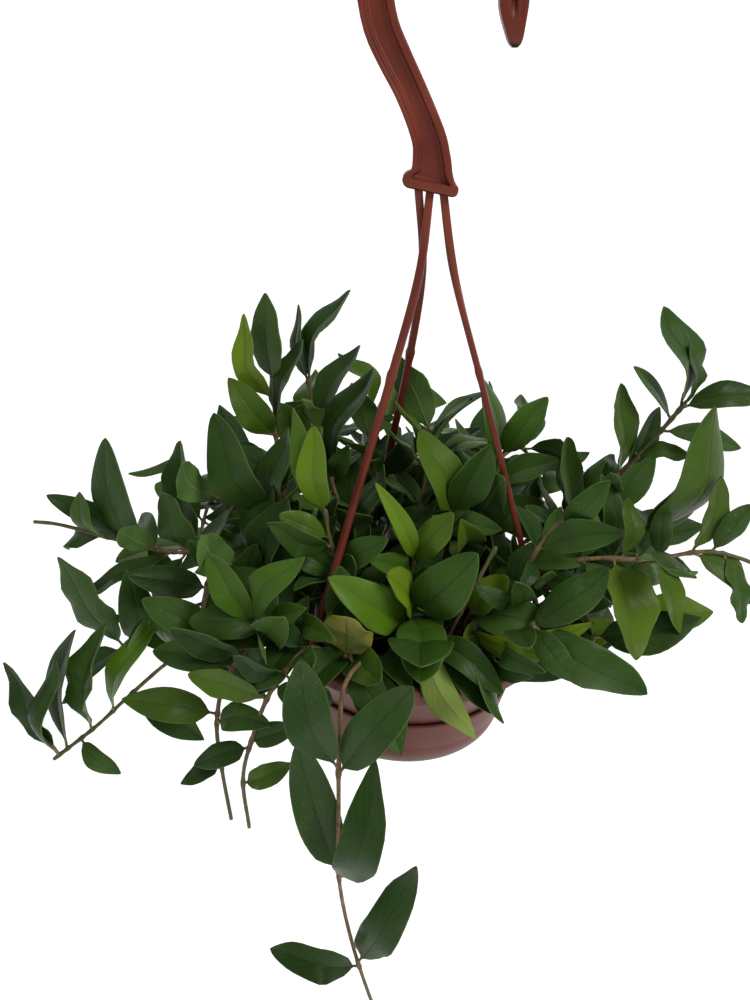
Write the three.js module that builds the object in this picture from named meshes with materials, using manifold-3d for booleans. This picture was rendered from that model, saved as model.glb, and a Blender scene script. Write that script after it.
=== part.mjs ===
// Potted lipstick plant in a hanging pot: a moulded hanger, a bowl with a clip-on saucer, potting mix
// and the leafy shoots. Millimetres, +Z up, origin at the middle of the saucer's flat underside.
import * as THREE from 'three';
import { mergeVertices } from 'three/addons/utils/BufferGeometryUtils.js';
import Module from 'manifold-3d';

const wasm = await Module();
wasm.setup();

// Driving dimensions
const RIM_R = 75;
const RIM_Z = 66;
const RIM_FLANGE_R = 69;
const RIM_FLANGE_Z = 62;
const WALL = 2;
const GAP = 0.35;
const POT_BASE_Z = 4.3;
const POT_BASE_R = 44;
const SAUCER_R = 57;
const SAUCER_H = 35;
const SAUCER_LIP_R = 59.6;
const SAUCER_FILLET = 18;
const SAUCER_WALL = 1.6;
const SOIL_EDGE_Z = 54;
const SOIL_DOME = 4;
const FOOT = new THREE.Vector3(-5, 0, 286);
const FOOT_WIDTH = 25;
const FOOT_HEIGHT = 6;
const HOOK_DEPTH = 9;
const HOOK_WEB = 3.4;
const HOOK_FLANGE = 2.2;
const ARC_CENTRE = new THREE.Vector2(-5.5, 364);
const ARC_R = 29;
const SLOT_R = 72;
const ARM_ANGLES = { arm_front: -132, arm_right: -12, arm_back: 108 };
const ARM_OFFSETS = { arm_front: 0, arm_right: 6.5, arm_back: -6.5 };
const ARM_WIDTH = 3.8;
const ARM_THICK = 3;
const STEM_R = 1.3;
const STEM_SIDES = 4;
const LEAF_THICK = 1.4;
const SMOOTHING = 0.15;
const TAU = Math.PI * 2;

// Colours, roughness and metalness of the plain materials
const FINISH = {
  pot: [0x7a3f34, 0.5],
  saucer: [0x70382f, 0.5],
  hanger: [0x863a2a, 0.5],
  soil: [0x1d140e, 0.95],
  leaf: [0x35552a, 0.45],
};

const rad = (degrees) => degrees * Math.PI / 180;
const wave = (n) => {
  const s = Math.sin(n * 12.9898) * 43758.5453;
  return s - Math.floor(s);
};

// ---- solids -------------------------------------------------------------------------------------

function solid(geometry) {
  const plain = geometry.clone();
  plain.deleteAttribute('normal');
  plain.deleteAttribute('uv');
  const merged = mergeVertices(plain, 1e-4);
  return new wasm.Manifold(new wasm.Mesh({
    numProp: 3,
    vertProperties: new Float32Array(merged.attributes.position.array),
    triVerts: new Uint32Array(merged.index.array),
  }));
}

function geometryOf(manifold) {
  const mesh = manifold.getMesh();
  const geometry = new THREE.BufferGeometry();
  geometry.setAttribute('position', new THREE.BufferAttribute(mesh.vertProperties.slice(), 3));
  geometry.setIndex(new THREE.BufferAttribute(mesh.triVerts.slice(), 1));
  return geometry;
}

function indexedSolid(points, triangles) {
  return new wasm.Manifold(new wasm.Mesh({
    numProp: 3,
    vertProperties: new Float32Array(points.flatMap((p) => [p.x, p.y, p.z])),
    triVerts: new Uint32Array(triangles.flat()),
  }));
}

function revolve(profile, segments) {
  const points = profile.map(([r, z]) => new THREE.Vector2(r, z));
  const geometry = new THREE.LatheGeometry(points, segments);
  geometry.rotateX(Math.PI / 2);
  return solid(geometry);
}

function arcPoints(cx, cz, r, from, to, steps) {
  const points = [];
  for (let i = 0; i <= steps; i += 1) {
    const a = rad(from + (to - from) * i / steps);
    points.push([cx + r * Math.cos(a), cz + r * Math.sin(a)]);
  }
  return points;
}

// A tube along a curve, with its ends closed
function tube(curve, halfWidth, halfThick, sides, steps) {
  const section = new THREE.Shape();
  for (let i = 0; i < sides; i += 1) {
    const a = TAU * (i + 0.5) / sides;
    const x = halfWidth * Math.cos(a);
    const y = halfThick * Math.sin(a);
    if (i === 0) section.moveTo(x, y);
    else section.lineTo(x, y);
  }
  section.closePath();
  return solid(new THREE.ExtrudeGeometry(section, { steps, extrudePath: curve, bevelEnabled: false }));
}

// ---- pot, saucer and potting mix ----------------------------------------------------------------

const potRadius = (z) => POT_BASE_R
  + (RIM_FLANGE_R - POT_BASE_R) * (z - POT_BASE_Z) / (RIM_FLANGE_Z - POT_BASE_Z);

function makePot() {
  const foot = 2;
  const floor = POT_BASE_Z + WALL;
  const shell = revolve([
    [0, POT_BASE_Z], [30, POT_BASE_Z], [30, foot], [33, foot], [33, POT_BASE_Z],
    [POT_BASE_R - 2, POT_BASE_Z], [POT_BASE_R, POT_BASE_Z + 2],
    [potRadius(RIM_FLANGE_Z - 4), RIM_FLANGE_Z - 4], [RIM_FLANGE_R, RIM_FLANGE_Z],
    [RIM_R - 1.4, RIM_FLANGE_Z], [RIM_R - 1.4, RIM_Z - 7], [RIM_R - 0.2, RIM_Z - 7],
    [RIM_R, RIM_Z - 1.5], [RIM_R - 1.5, RIM_Z], [RIM_FLANGE_R - WALL + 1, RIM_Z],
    [RIM_FLANGE_R - WALL - 0.6, RIM_FLANGE_Z], [potRadius(floor) - WALL, floor], [0, floor],
  ], 40);
  let pot = shell;
  for (const degrees of Object.values(ARM_ANGLES)) {
    const slot = new THREE.BoxGeometry(ARM_THICK + 2, ARM_WIDTH + 2, 12);
    slot.translate(SLOT_R - 0.8, 0, RIM_Z);
    slot.rotateZ(rad(degrees));
    pot = pot.subtract(solid(slot));
  }
  const drains = 6;
  for (let i = 0; i < drains; i += 1) {
    const drain = new THREE.CylinderGeometry(3, 3, 12, 12);
    drain.rotateX(Math.PI / 2);
    drain.translate(20, 0, POT_BASE_Z);
    drain.rotateZ(TAU * i / drains);
    pot = pot.subtract(solid(drain));
  }
  return pot;
}

function makeSaucer() {
  const flat = SAUCER_R - 1 - SAUCER_FILLET;
  const lip = [SAUCER_LIP_R - SAUCER_WALL, SAUCER_H];
  return revolve([
    [0, 0],
    ...arcPoints(flat, SAUCER_FILLET, SAUCER_FILLET, -90, 0, 7),
    [SAUCER_LIP_R, SAUCER_H - 1], [SAUCER_LIP_R - 0.4, SAUCER_H], lip,
    ...arcPoints(flat, SAUCER_FILLET, SAUCER_FILLET - SAUCER_WALL, 0, -90, 7),
    [0, SAUCER_WALL],
  ], 36);
}

const soilTop = (r) => SOIL_EDGE_Z + SOIL_DOME * (1 - (r / RIM_FLANGE_R) ** 2);

function makeSoil() {
  const floor = POT_BASE_Z + WALL + GAP;
  const fit = WALL + GAP + 0.3;
  const profile = [[0, floor], [potRadius(floor) - fit - 0.5, floor], [potRadius(SOIL_EDGE_Z) - fit - 0.8, SOIL_EDGE_Z]];
  for (const r of [50, 34, 17, 0]) profile.push([r, soilTop(r)]);
  return revolve(profile, 36);
}

// ---- hanger: hook and three arms ----------------------------------------------------------------

// Centre line of the hook with its half width at each point, from the foot to the tip
function hookLine() {
  const { x, z } = FOOT;
  const line = [
    [x + 0.3, z + 3, 11], [x - 0.2, z + 7, 9], [x - 0.8, z + 13, 8.4], [x - 2, z + 20, 7.6], [x - 6, z + 30, 7.2],
    [x - 12.5, z + 42, 7], [x - 20, z + 54, 7.4], [x - 26, z + 65, 7.6],
  ];
  const steps = 16;
  for (let i = 0; i <= steps; i += 1) {
    const a = rad(178 - 178 * i / steps);
    const half = 7.6 - 1.4 * i / steps;
    line.push([ARC_CENTRE.x + ARC_R * Math.cos(a), ARC_CENTRE.y + ARC_R * Math.sin(a), half]);
  }
  const end = ARC_CENTRE.x + ARC_R;
  line.push([end + 0.6, ARC_CENTRE.y - 7, 5.6], [end + 1.6, ARC_CENTRE.y - 13, 4.4], [end + 2.4, ARC_CENTRE.y - 18, 1.6]);
  return line;
}

function ribbon(line, inset, depth, centreY) {
  const left = [];
  const right = [];
  line.forEach(([x, z, half], i) => {
    const before = line[Math.max(i - 1, 0)];
    const after = line[Math.min(i + 1, line.length - 1)];
    const along = new THREE.Vector2(after[0] - before[0], after[1] - before[1]).normalize();
    const reach = half - inset;
    left.push([x - along.y * reach, z + along.x * reach]);
    right.push([x + along.y * reach, z - along.x * reach]);
  });
  const outline = [...left, ...right.reverse()].map(([x, z]) => new THREE.Vector2(x, z));
  const geometry = new THREE.ExtrudeGeometry(new THREE.Shape(outline), { depth, bevelEnabled: false });
  geometry.rotateX(Math.PI / 2);
  geometry.translate(0, centreY + depth / 2, 0);
  return solid(geometry);
}

function makeHook() {
  const line = hookLine();
  let hook = ribbon(line, 0, HOOK_DEPTH, 0);
  const recess = (HOOK_DEPTH - HOOK_WEB) / 2;
  const inner = line.slice(1, -3);
  for (const side of [-1, 1]) {
    const centre = side * (HOOK_WEB + recess + 1) / 2;
    hook = hook.subtract(ribbon(inner, HOOK_FLANGE, recess + 1, centre));
  }
  const foot = new THREE.Shape();
  const end = FOOT_WIDTH / 2 - FOOT_HEIGHT / 2;
  foot.absarc(end, 0, FOOT_HEIGHT / 2, -Math.PI / 2, Math.PI / 2, false);
  foot.absarc(-end, 0, FOOT_HEIGHT / 2, Math.PI / 2, Math.PI * 1.5, false);
  const bar = new THREE.ExtrudeGeometry(foot, { depth: HOOK_DEPTH + 2, bevelEnabled: false, curveSegments: 6 });
  bar.rotateX(Math.PI / 2);
  bar.translate(FOOT.x, HOOK_DEPTH / 2 + 1, FOOT.z + FOOT_HEIGHT / 2);
  return hook.add(solid(bar));
}

function armCurve(name) {
  const a = rad(ARM_ANGLES[name]);
  const out = new THREE.Vector3(Math.cos(a), Math.sin(a), 0);
  const top = FOOT.clone().add(new THREE.Vector3(ARM_OFFSETS[name], 0, -GAP * 2));
  const at = (r, z) => out.clone().multiplyScalar(r).setZ(z);
  return new THREE.CatmullRomCurve3([
    top,
    top.clone().lerp(at(12, FOOT.z - 40), 0.85).setZ(FOOT.z - 34),
    at(27, FOOT.z - 85),
    at(46, FOOT.z - 138),
    at(64, FOOT.z - 190),
    at(SLOT_R - 0.8, RIM_Z + 8),
    at(SLOT_R - 0.8, RIM_FLANGE_Z - 4),
  ]);
}

function makeArm(name) {
  const strap = tube(armCurve(name), ARM_THICK / 2, ARM_WIDTH / 2, 6, 16);
  const knob = new THREE.CylinderGeometry(1.4, 2.2, 3, 8);
  knob.rotateX(Math.PI / 2);
  knob.translate(SLOT_R - 0.8, 0, RIM_FLANGE_Z - 4.4);
  knob.rotateZ(rad(ARM_ANGLES[name]));
  return strap.add(solid(knob));
}

// ---- shoots -------------------------------------------------------------------------------------

// Each shoot is a route for its stem and its leaves. A leaf row is the place along the stem from 0 to 1,
// the leaf's tip, and its width over its length.
const SHOOTS = {
  front_trail: [
    [[-12, -40], [-22, -70, 80], [-30, -84, 76], [-31, -89, 40], [-30, -90, 10], [-28, -88, -40],
      [-20, -86, -85], [-8, -84, -130], [0, -83, -155]],
    [[0.36, -50, -99, 98, 0.33], [0.37, 0, -103, 90, 0.31], [0.6, -50, -99, 54, 0.24], [0.6, -14, -99, 46, 0.25],
      [0.82, 10, -95, -22, 0.25], [0.83, -62, -93, -88, 0.34], [1, 20, -86, -178, 0.42], [1, -16, -84, -192, 0.4]],
  ],
  crown_middle: [
    [[0, -26], [-2, -36, 76], [0, -43, 92]],
    [[1, 28, -54, 132, 0.52], [0.95, 4, -88, 82, 0.55], [0.8, -38, -56, 118, 0.5], [0.9, -14, -62, 122, 0.6]],
  ],
  crown_lime: [
    [[10, -34], [8, -48, 80], [4, -58, 88]],
    [[1, 33, -104, 52, 0.3], [0.85, 43, -84, 76, 0.32], [0.7, 44, -90, 64, 0.36], [0.6, 18, -90, 66, 0.6]],
  ],
  crown_right: [
    [[22, -26], [26, -36, 78], [30, -42, 94]],
    [[1, 68, -64, 96, 0.52], [0.9, 44, -54, 120, 0.45], [1, 60, -46, 122, 0.45], [0.75, 84, -66, 106, 0.24],
      [0.5, 40, -86, 62, 0.5]],
  ],
  crown_old: [
    [[-24, -38], [-28, -56, 74], [-31, -70, 82]],
    [[1, -31, -76, 107, 0.95], [0.7, -50, -84, 66, 0.5], [0.8, -12, -92, 62, 0.45], [0.9, -2, -93, 44, 0.42],
      [0.6, -14, -90, 82, 0.5], [0.5, 6, -88, 70, 0.5]],
  ],
  left_fold: [
    [[-30, -28], [-50, -46, 80], [-66, -56, 92], [-76, -61, 90]],
    [[1, -98, -58, 126, 0.42], [1, -52, -64, 130, 0.4], [0.9, -50, -72, 108, 0.42], [0.85, -106, -64, 92, 0.45],
      [0.6, -36, -82, 98, 0.3], [0.55, -72, -78, 62, 0.45], [0.4, -36, -52, 120, 0.45]],
  ],
  rise_far_left: [
    [[-32, 0], [-54, 0, 98], [-70, 2, 134], [-75, 10, 165], [-77, 16, 190]],
    [[1, -82, 20, 232, 0.5], [0.92, -92, 15, 222, 0.35], [0.85, -62, 10, 212, 0.4], [0.8, -98, 4, 192, 0.42],
      [0.6, -50, -4, 172, 0.45], [0.6, -98, -4, 158, 0.42], [0.35, -86, -14, 120, 0.45], [0.4, -40, -18, 140, 0.4]],
  ],
  rise_left: [
    [[-20, 6], [-36, 12, 110], [-52, 16, 154], [-60, 20, 190]],
    [[1, -40, 20, 236, 0.42], [1, -66, 26, 226, 0.3], [0.85, -34, 30, 206, 0.5], [0.6, -26, 16, 198, 0.42],
      [0.62, -74, 12, 178, 0.4], [0.4, -18, 6, 150, 0.45], [0.42, -66, 4, 130, 0.4]],
  ],
  rise_bright: [
    [[-16, -14], [-30, -28, 94], [-42, -38, 126], [-45, -37, 142]],
    [[1, -52, -36, 184, 0.36], [0.95, -62, -31, 190, 0.22], [0.85, -66, -45, 142, 0.45],
      [0.6, -14, -44, 132, 0.42], [0.55, -58, -50, 104, 0.45]],
  ],
  rise_slender: [
    [[-4, -14], [-3, -24, 90], [0, -30, 114]],
    [[1, -22, -37, 158, 0.28], [1, 16, -40, 146, 0.42], [0.8, -26, -46, 122, 0.4], [0.75, 24, -40, 112, 0.45]],
  ],
  rise_middle: [
    [[14, -2], [15, -7, 100], [18, -10, 132]],
    [[1, -2, -16, 178, 0.45], [1, 34, -8, 170, 0.52], [0.85, 42, -26, 132, 0.4], [0.8, 20, -38, 142, 0.5],
      [0.6, -12, -20, 126, 0.42], [0.6, 36, -20, 118, 0.42]],
  ],
  rise_back: [
    [[4, 18], [4, 26, 110], [7, 30, 162]],
    [[1, -16, 30, 203, 0.42], [1, 26, 30, 182, 0.5], [0.85, -14, 27, 178, 0.35], [0.8, 34, 26, 186, 0.5],
      [0.6, -22, 20, 140, 0.42], [0.6, 30, 16, 150, 0.45]],
  ],
  rise_right: [
    [[26, 8], [34, 16, 110], [44, 18, 156]],
    [[1, 64, 18, 188, 0.45], [0.95, 30, 26, 194, 0.5], [0.8, 72, 8, 158, 0.5], [0.6, 42, -18, 156, 0.5],
      [0.55, 14, 4, 140, 0.42]],
  ],
  reach_high_right: [
    [[32, 2], [64, 0, 108], [94, -6, 148], [114, -10, 180], [125, -10, 198]],
    [[1, 106, -10, 243, 0.5], [0.97, 119, -16, 228, 0.42], [0.94, 95, -18, 216, 0.3], [1, 164, -8, 204, 0.38],
      [0.9, 152, -20, 180, 0.4], [0.72, 92, -12, 206, 0.45], [0.75, 118, 6, 190, 0.45], [0.6, 106, -20, 128, 0.45],
      [0.55, 74, 4, 172, 0.45], [0.4, 54, -14, 140, 0.4], [0.4, 84, 10, 96, 0.4]],
  ],
  reach_right: [
    [[38, -12], [74, -24, 96], [100, -29, 122], [112, -30, 138]],
    [[1, 128, -40, 206, 0.42], [0.97, 136, -34, 174, 0.42], [0.8, 82, -26, 156, 0.45], [0.75, 116, -46, 102, 0.45],
      [0.5, 60, -34, 130, 0.42], [0.5, 92, -40, 84, 0.42]],
  ],
  reach_level: [
    [[36, -22], [50, -38, 98], [66, -44, 123], [86, -45, 129], [110, -45, 130], [136, -45, 136],
      [152, -45, 134], [166, -45, 129]],
    [[0.6, 104, -74, 92, 0.62], [0.62, 98, -37, 158, 0.42], [0.72, 114, -42, 158, 0.4], [0.72, 128, -58, 98, 0.42],
      [0.85, 154, -45, 162, 0.42], [0.88, 156, -58, 106, 0.42], [1, 192, -46, 116, 0.36], [1, 182, -44, 150, 0.36],
      [0.4, 86, -60, 118, 0.4]],
  ],
  reach_curl: [
    [[34, -32], [48, -46, 102], [58, -49, 138], [69, -45, 151]],
    [[0.75, 48, -66, 122, 0.42], [0.95, 84, -52, 172, 0.4], [0.7, 82, -42, 126, 0.42], [0.5, 28, -56, 116, 0.35]],
  ],
  drape_right: [
    [[30, -40], [44, -56, 82], [56, -66, 104]],
    [[1, 108, -86, 82, 0.36], [1, 76, -84, 84, 0.4], [0.9, 88, -60, 132, 0.4], [0.7, 60, -88, 92, 0.35]],
  ],
  reach_left_long: [
    [[-26, -10], [-60, -15, 90], [-94, -19, 106], [-124, -16, 103], [-146, -15, 106], [-186, -10, 112],
      [-198, -9, 112]],
    [[0.72, -156, -14, 163, 0.48], [0.71, -188, -14, 130, 0.26], [0.56, -119, -14, 164, 0.42],
      [0.62, -178, -18, 76, 0.2], [0.58, -132, -26, 64, 0.42], [0.42, -72, -22, 146, 0.42], [0.45, -98, -34, 62, 0.42],
      [0.3, -44, -24, 118, 0.42], [0.32, -76, -34, 60, 0.4]],
  ],
  reach_left_stub: [
    [[-22, -4], [-50, -8, 104], [-84, -11, 130], [-130, -10, 132]],
    [[0.62, -103, -10, 178, 0.42], [0.6, -66, -14, 174, 0.45], [0.75, -120, -22, 96, 0.42],
      [0.45, -92, -28, 108, 0.42], [0.4, -40, -22, 132, 0.42]],
  ],
  drape_left: [
    [[-34, -18], [-78, -21, 84], [-118, -22, 72], [-154, -20, 44]],
    [[1, -183, -20, 98, 0.45], [0.95, -146, -26, 96, 0.4], [1, -186, -26, 10, 0.4], [0.75, -104, -38, 58, 0.4],
      [0.7, -138, -12, 104, 0.4], [0.5, -78, -34, 120, 0.42], [0.45, -80, -36, 34, 0.4]],
  ],
  drape_left_low: [
    [[-40, -26], [-80, -36, 82], [-118, -40, 56], [-145, -40, 28], [-161, -45, 12], [-184, -50, -8]],
    [[1, -204, -50, 52, 0.26], [1, -176, -54, 58, 0.2], [0.95, -166, -50, 74, 0.26], [0.86, -152, -46, 76, 0.38],
      [0.78, -126, -42, 78, 0.25], [0.7, -102, -56, 16, 0.42], [0.9, -146, -58, -8, 0.4], [0.5, -78, -52, 52, 0.42],
      [0.5, -126, -52, 96, 0.4]],
  ],
  trail_left: [
    [[-42, -38], [-70, -54, 82], [-88, -64, 62], [-93, -67, 36], [-90, -72, 12], [-85, -75, -18]],
    [[0.45, -124, -64, 74, 0.42], [0.5, -58, -78, 74, 0.4], [0.62, -140, -66, 46, 0.36], [0.65, -64, -84, 50, 0.42],
      [0.8, -110, -76, 4, 0.42]],
  ],
  trail_left_inner: [
    [[-28, -46], [-48, -68, 84], [-64, -76, 66], [-74, -79, 36], [-78, -80, 14], [-75, -80, -18]],
    [[0.45, -40, -92, 62, 0.42], [0.5, -104, -78, 72, 0.4], [0.66, -52, -88, 52, 0.42], [0.68, -102, -80, 20, 0.42],
      [0.82, -54, -86, 30, 0.4]],
  ],
};

// Shoots round the back and inside, set out by angle: start angle, reach, height and droop of the tip
const ROUND = [
  ['back_1', 150, 128, 112, 54], ['back_2', 126, 112, 136, 96], ['back_3', 98, 124, 104, 44],
  ['back_4', 86, 104, 142, 116], ['back_5', 66, 126, 108, 52], ['back_6', 49, 114, 138, 100],
  ['back_7', 24, 132, 106, 50], ['back_8', 2, 120, 116, 66], ['back_9', -24, 104, 104, 84],
  ['back_10', 172, 126, 122, 80], ['back_11', 200, 118, 104, 46], ['back_12', 116, 74, 150, 156],
  ['inner_1', 140, 44, 118, 128], ['inner_2', 78, 40, 124, 136], ['inner_3', 20, 46, 116, 122],
  ['inner_4', -40, 44, 100, 100], ['inner_5', 230, 42, 96, 98], ['inner_6', 186, 46, 112, 118],
  ['inner_7', -70, 36, 84, 88], ['inner_8', -105, 34, 82, 84], ['inner_9', -20, 56, 88, 86],
  ['inner_10', 205, 60, 90, 84], ['inner_11', 100, 50, 104, 108], ['inner_12', 50, 58, 108, 104],
  ['inner_13', 160, 62, 100, 100], ['inner_14', -55, 58, 80, 72],
];

// The last leaves stand just inside the stem's end
const LAST_NODE = 0.98;
const towards = (point, tip, width) => ({ base: point, tip: new THREE.Vector3(...tip), width });

function stemCurve(route) {
  const points = route.map(([x, y, z]) => new THREE.Vector3(x, y, z ?? soilTop(Math.hypot(x, y)) + STEM_R));
  return new THREE.CatmullRomCurve3(points, false, 'centripetal');
}

function placedShoot(name, [route, rows]) {
  const curve = stemCurve(route);
  const leaves = rows.map(([at, x, y, z, width]) => towards(curve.getPointAt(Math.min(at, LAST_NODE)), [x, y, z], width));
  return { name, curve, leaves, steps: route.length + 1 };
}

// Opposite pairs of leaves that turn a quarter from node to node and lift towards the light
function pairedLeaves(curve, seed) {
  const leaves = [];
  const nodes = Math.round(curve.getLength() / 30);
  for (let i = 1; i <= nodes; i += 1) {
    const at = 0.28 + (LAST_NODE - 0.28) * i / nodes;
    const base = curve.getPointAt(at);
    const along = curve.getTangentAt(at);
    const side = new THREE.Vector3(-along.y, along.x, 0).normalize();
    const over = new THREE.Vector3().crossVectors(along, side);
    const turn = rad(i % 2 === 0 ? 20 : 75) + (wave(seed + i) - 0.5) * 0.7;
    for (const hand of [-1, 1]) {
      const length = 34 + 22 * wave(seed * 3 + i * 7 + hand);
      const way = side.clone().multiplyScalar(hand * Math.cos(turn)).addScaledVector(over, hand * Math.sin(turn));
      way.addScaledVector(along, 0.45).add(new THREE.Vector3(0, 0, 0.42)).normalize();
      leaves.push({ base, tip: base.clone().addScaledVector(way, length), width: 0.38 + 0.1 * wave(seed + i * 5) });
    }
  }
  return leaves;
}

function roundShoot([name, degrees, reach, height, end], index) {
  const at = (r, z, twist) => {
    const a = rad(degrees + twist);
    return [r * Math.cos(a), r * Math.sin(a) + 4, z];
  };
  const start = at(20 + 5 * (index % 4), undefined, 0);
  const curve = stemCurve([start, at(reach * 0.55, height * 0.86, 5), at(reach * 0.85, height, 0), at(reach, end, -5)]);
  return { name, curve, leaves: pairedLeaves(curve, index * 17 + 3), steps: 5 };
}

// A thin bowed leaf: an outline of base, edges and tip round a raised middle, thickest there
function leafSolid({ base, tip, width }, extra, [share, twist]) {
  const axis = tip.clone().sub(base);
  const length = axis.length() * share;
  axis.normalize();
  const face = new THREE.Vector3(base.x, base.y, 0).normalize().multiplyScalar(0.5);
  face.add(new THREE.Vector3(0, -0.5, 0.75));
  face.addScaledVector(axis, -face.dot(axis)).normalize().applyAxisAngle(axis, rad(twist));
  const side = new THREE.Vector3().crossVectors(axis, face);
  const half = LEAF_THICK / 2 + extra * 1.6;
  const place = (at, across, lift) => base.clone().addScaledVector(axis, at * (length + extra))
    .addScaledVector(side, across).addScaledVector(face, lift);
  const edge = (at, wide) => place(at, wide * (width * length + extra * 2.4), length * 0.05);
  const points = [
    base, edge(0.34, -0.5), edge(0.72, -0.36), place(1, 0, 0), edge(0.72, 0.36), edge(0.34, 0.5),
    place(0.48, 0, length * 0.08 + half), place(0.48, 0, length * 0.08 - half),
  ];
  const triangles = [];
  for (let a = 0; a < 6; a += 1) {
    const b = (a + 1) % 6;
    triangles.push([b, a, 6], [a, b, 7]);
  }
  return indexedSolid(points, triangles);
}

const boxesMeet = (a, b) => [0, 1, 2].every((i) => a.min[i] <= b.max[i] && b.min[i] <= a.max[i]);

// How a leaf may shorten or twist, in order, to miss its neighbours
const LEAF_FITS = [1, 0.85, 0.7, 0.55].flatMap((share) => [0, 30, -30].map((twist) => [share, twist]));

// Solids that later pieces keep clear of, each with its box
class KeepOut {
  constructor() {
    this.items = [];
  }

  add(owner, manifold) {
    this.items.push({ owner, manifold, box: manifold.boundingBox() });
  }

  meets(owner, manifold) {
    const box = manifold.boundingBox();
    return this.items.some((item) => item.owner !== owner && boxesMeet(item.box, box)
      && !manifold.intersect(item.manifold).isEmpty());
  }

  clear(owner, manifold) {
    let result = manifold;
    const box = manifold.boundingBox();
    for (const item of this.items) {
      if (item.owner !== owner && boxesMeet(item.box, box)) result = result.subtract(item.manifold);
    }
    return result;
  }
}

// The piece of a cut solid that still holds the given point or lies nearest to it
function pieceNear(manifold, point) {
  const away = (piece) => {
    const { min, max } = piece.boundingBox();
    const near = new THREE.Box3(new THREE.Vector3(...min), new THREE.Vector3(...max));
    return near.distanceToPoint(point);
  };
  const pieces = manifold.decompose();
  pieces.sort((a, b) => away(a) - away(b) || b.volume() - a.volume());
  return pieces[0];
}

function makeShoots(keepOut) {
  const shoots = Object.entries(SHOOTS).map(([name, rows]) => placedShoot(name, rows));
  shoots.push(...ROUND.map(roundShoot));
  for (const shoot of shoots) {
    shoot.solid = keepOut.clear(shoot.name, tube(shoot.curve, STEM_R, STEM_R, STEM_SIDES, shoot.steps));
    keepOut.add(shoot.name, tube(shoot.curve, STEM_R + GAP * 2, STEM_R + GAP * 2, STEM_SIDES, shoot.steps));
  }
  for (const shoot of shoots) {
    for (const leaf of shoot.leaves) {
      const fit = LEAF_FITS.find((way) => !keepOut.meets(shoot.name, leafSolid(leaf, 0, way)));
      if (fit === undefined) continue;
      shoot.solid = shoot.solid.add(leafSolid(leaf, 0, fit));
      keepOut.add(shoot.name, leafSolid(leaf, GAP, fit));
    }
    shoot.solid = pieceNear(shoot.solid.simplify(SMOOTHING), shoot.curve.getPointAt(0));
  }
  return shoots;
}

// ---- the scene ----------------------------------------------------------------------------------

function meshOf(name, manifold, finish) {
  const [color, roughness] = FINISH[finish];
  const material = new THREE.MeshStandardMaterial({ color, roughness, metalness: 0 });
  const mesh = new THREE.Mesh(geometryOf(manifold), material);
  mesh.name = name;
  return mesh;
}

const group = new THREE.Group();
const keepOut = new KeepOut();
group.add(meshOf('hanging_pot', makePot(), 'pot'));
group.add(meshOf('saucer', makeSaucer(), 'saucer'));
group.add(meshOf('potting_mix', makeSoil(), 'soil'));
group.add(meshOf('hanger_hook', makeHook(), 'hanger'));

// The bowl and saucer filled in and a little larger, for leaves to keep clear of
keepOut.add('bowl', revolve([
  [0, -GAP], [SAUCER_R - 14, -GAP], [SAUCER_R + GAP, 14], [SAUCER_R + GAP, SAUCER_H + GAP],
  [RIM_R + GAP, RIM_Z - 8], [RIM_R + GAP, RIM_Z + GAP], [RIM_FLANGE_R - WALL, RIM_Z + GAP],
  [RIM_FLANGE_R - WALL - 1, SOIL_EDGE_Z + GAP], [40, soilTop(40) + GAP * 0.7], [0, soilTop(0) + GAP * 0.7],
], 24));

for (const name of Object.keys(ARM_ANGLES)) {
  group.add(meshOf(name, makeArm(name), 'hanger'));
  keepOut.add(name, tube(armCurve(name), ARM_THICK / 2 + GAP, ARM_WIDTH / 2 + GAP, 6, 16));
}

for (const shoot of makeShoots(keepOut)) {
  group.add(meshOf(`shoot_${shoot.name}`, shoot.solid, 'leaf'));
}

export default group;
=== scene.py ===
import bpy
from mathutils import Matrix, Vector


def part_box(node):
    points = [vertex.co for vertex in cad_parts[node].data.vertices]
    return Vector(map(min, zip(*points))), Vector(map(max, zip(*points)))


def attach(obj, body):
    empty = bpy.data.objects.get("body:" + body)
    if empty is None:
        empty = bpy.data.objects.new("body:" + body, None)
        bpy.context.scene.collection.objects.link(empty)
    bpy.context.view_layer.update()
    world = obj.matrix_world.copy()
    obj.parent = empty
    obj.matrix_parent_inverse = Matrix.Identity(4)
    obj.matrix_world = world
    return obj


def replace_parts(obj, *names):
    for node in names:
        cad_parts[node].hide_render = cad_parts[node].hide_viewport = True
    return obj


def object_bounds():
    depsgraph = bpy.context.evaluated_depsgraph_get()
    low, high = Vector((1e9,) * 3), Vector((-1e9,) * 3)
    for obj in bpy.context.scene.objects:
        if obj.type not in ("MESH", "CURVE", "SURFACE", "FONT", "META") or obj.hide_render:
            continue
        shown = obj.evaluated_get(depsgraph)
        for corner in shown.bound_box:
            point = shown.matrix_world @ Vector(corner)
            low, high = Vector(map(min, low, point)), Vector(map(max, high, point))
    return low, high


bl_info = {
    "name": "Hanging Lipstick Plant",
    "version": (1, 0, 0),
    "blender": (4, 5, 0),
    "location": "View3D > Sidebar > Plant",
    "description": "Builds a trailing plant in a hanging bowl around its packed model",
    "category": "Object",
}

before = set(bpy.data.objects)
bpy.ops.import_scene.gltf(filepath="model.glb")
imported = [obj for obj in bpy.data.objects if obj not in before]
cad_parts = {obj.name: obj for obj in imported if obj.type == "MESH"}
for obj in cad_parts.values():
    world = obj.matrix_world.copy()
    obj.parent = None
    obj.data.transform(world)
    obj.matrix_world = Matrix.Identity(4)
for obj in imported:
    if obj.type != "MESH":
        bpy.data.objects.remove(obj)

import itertools
import math

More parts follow.
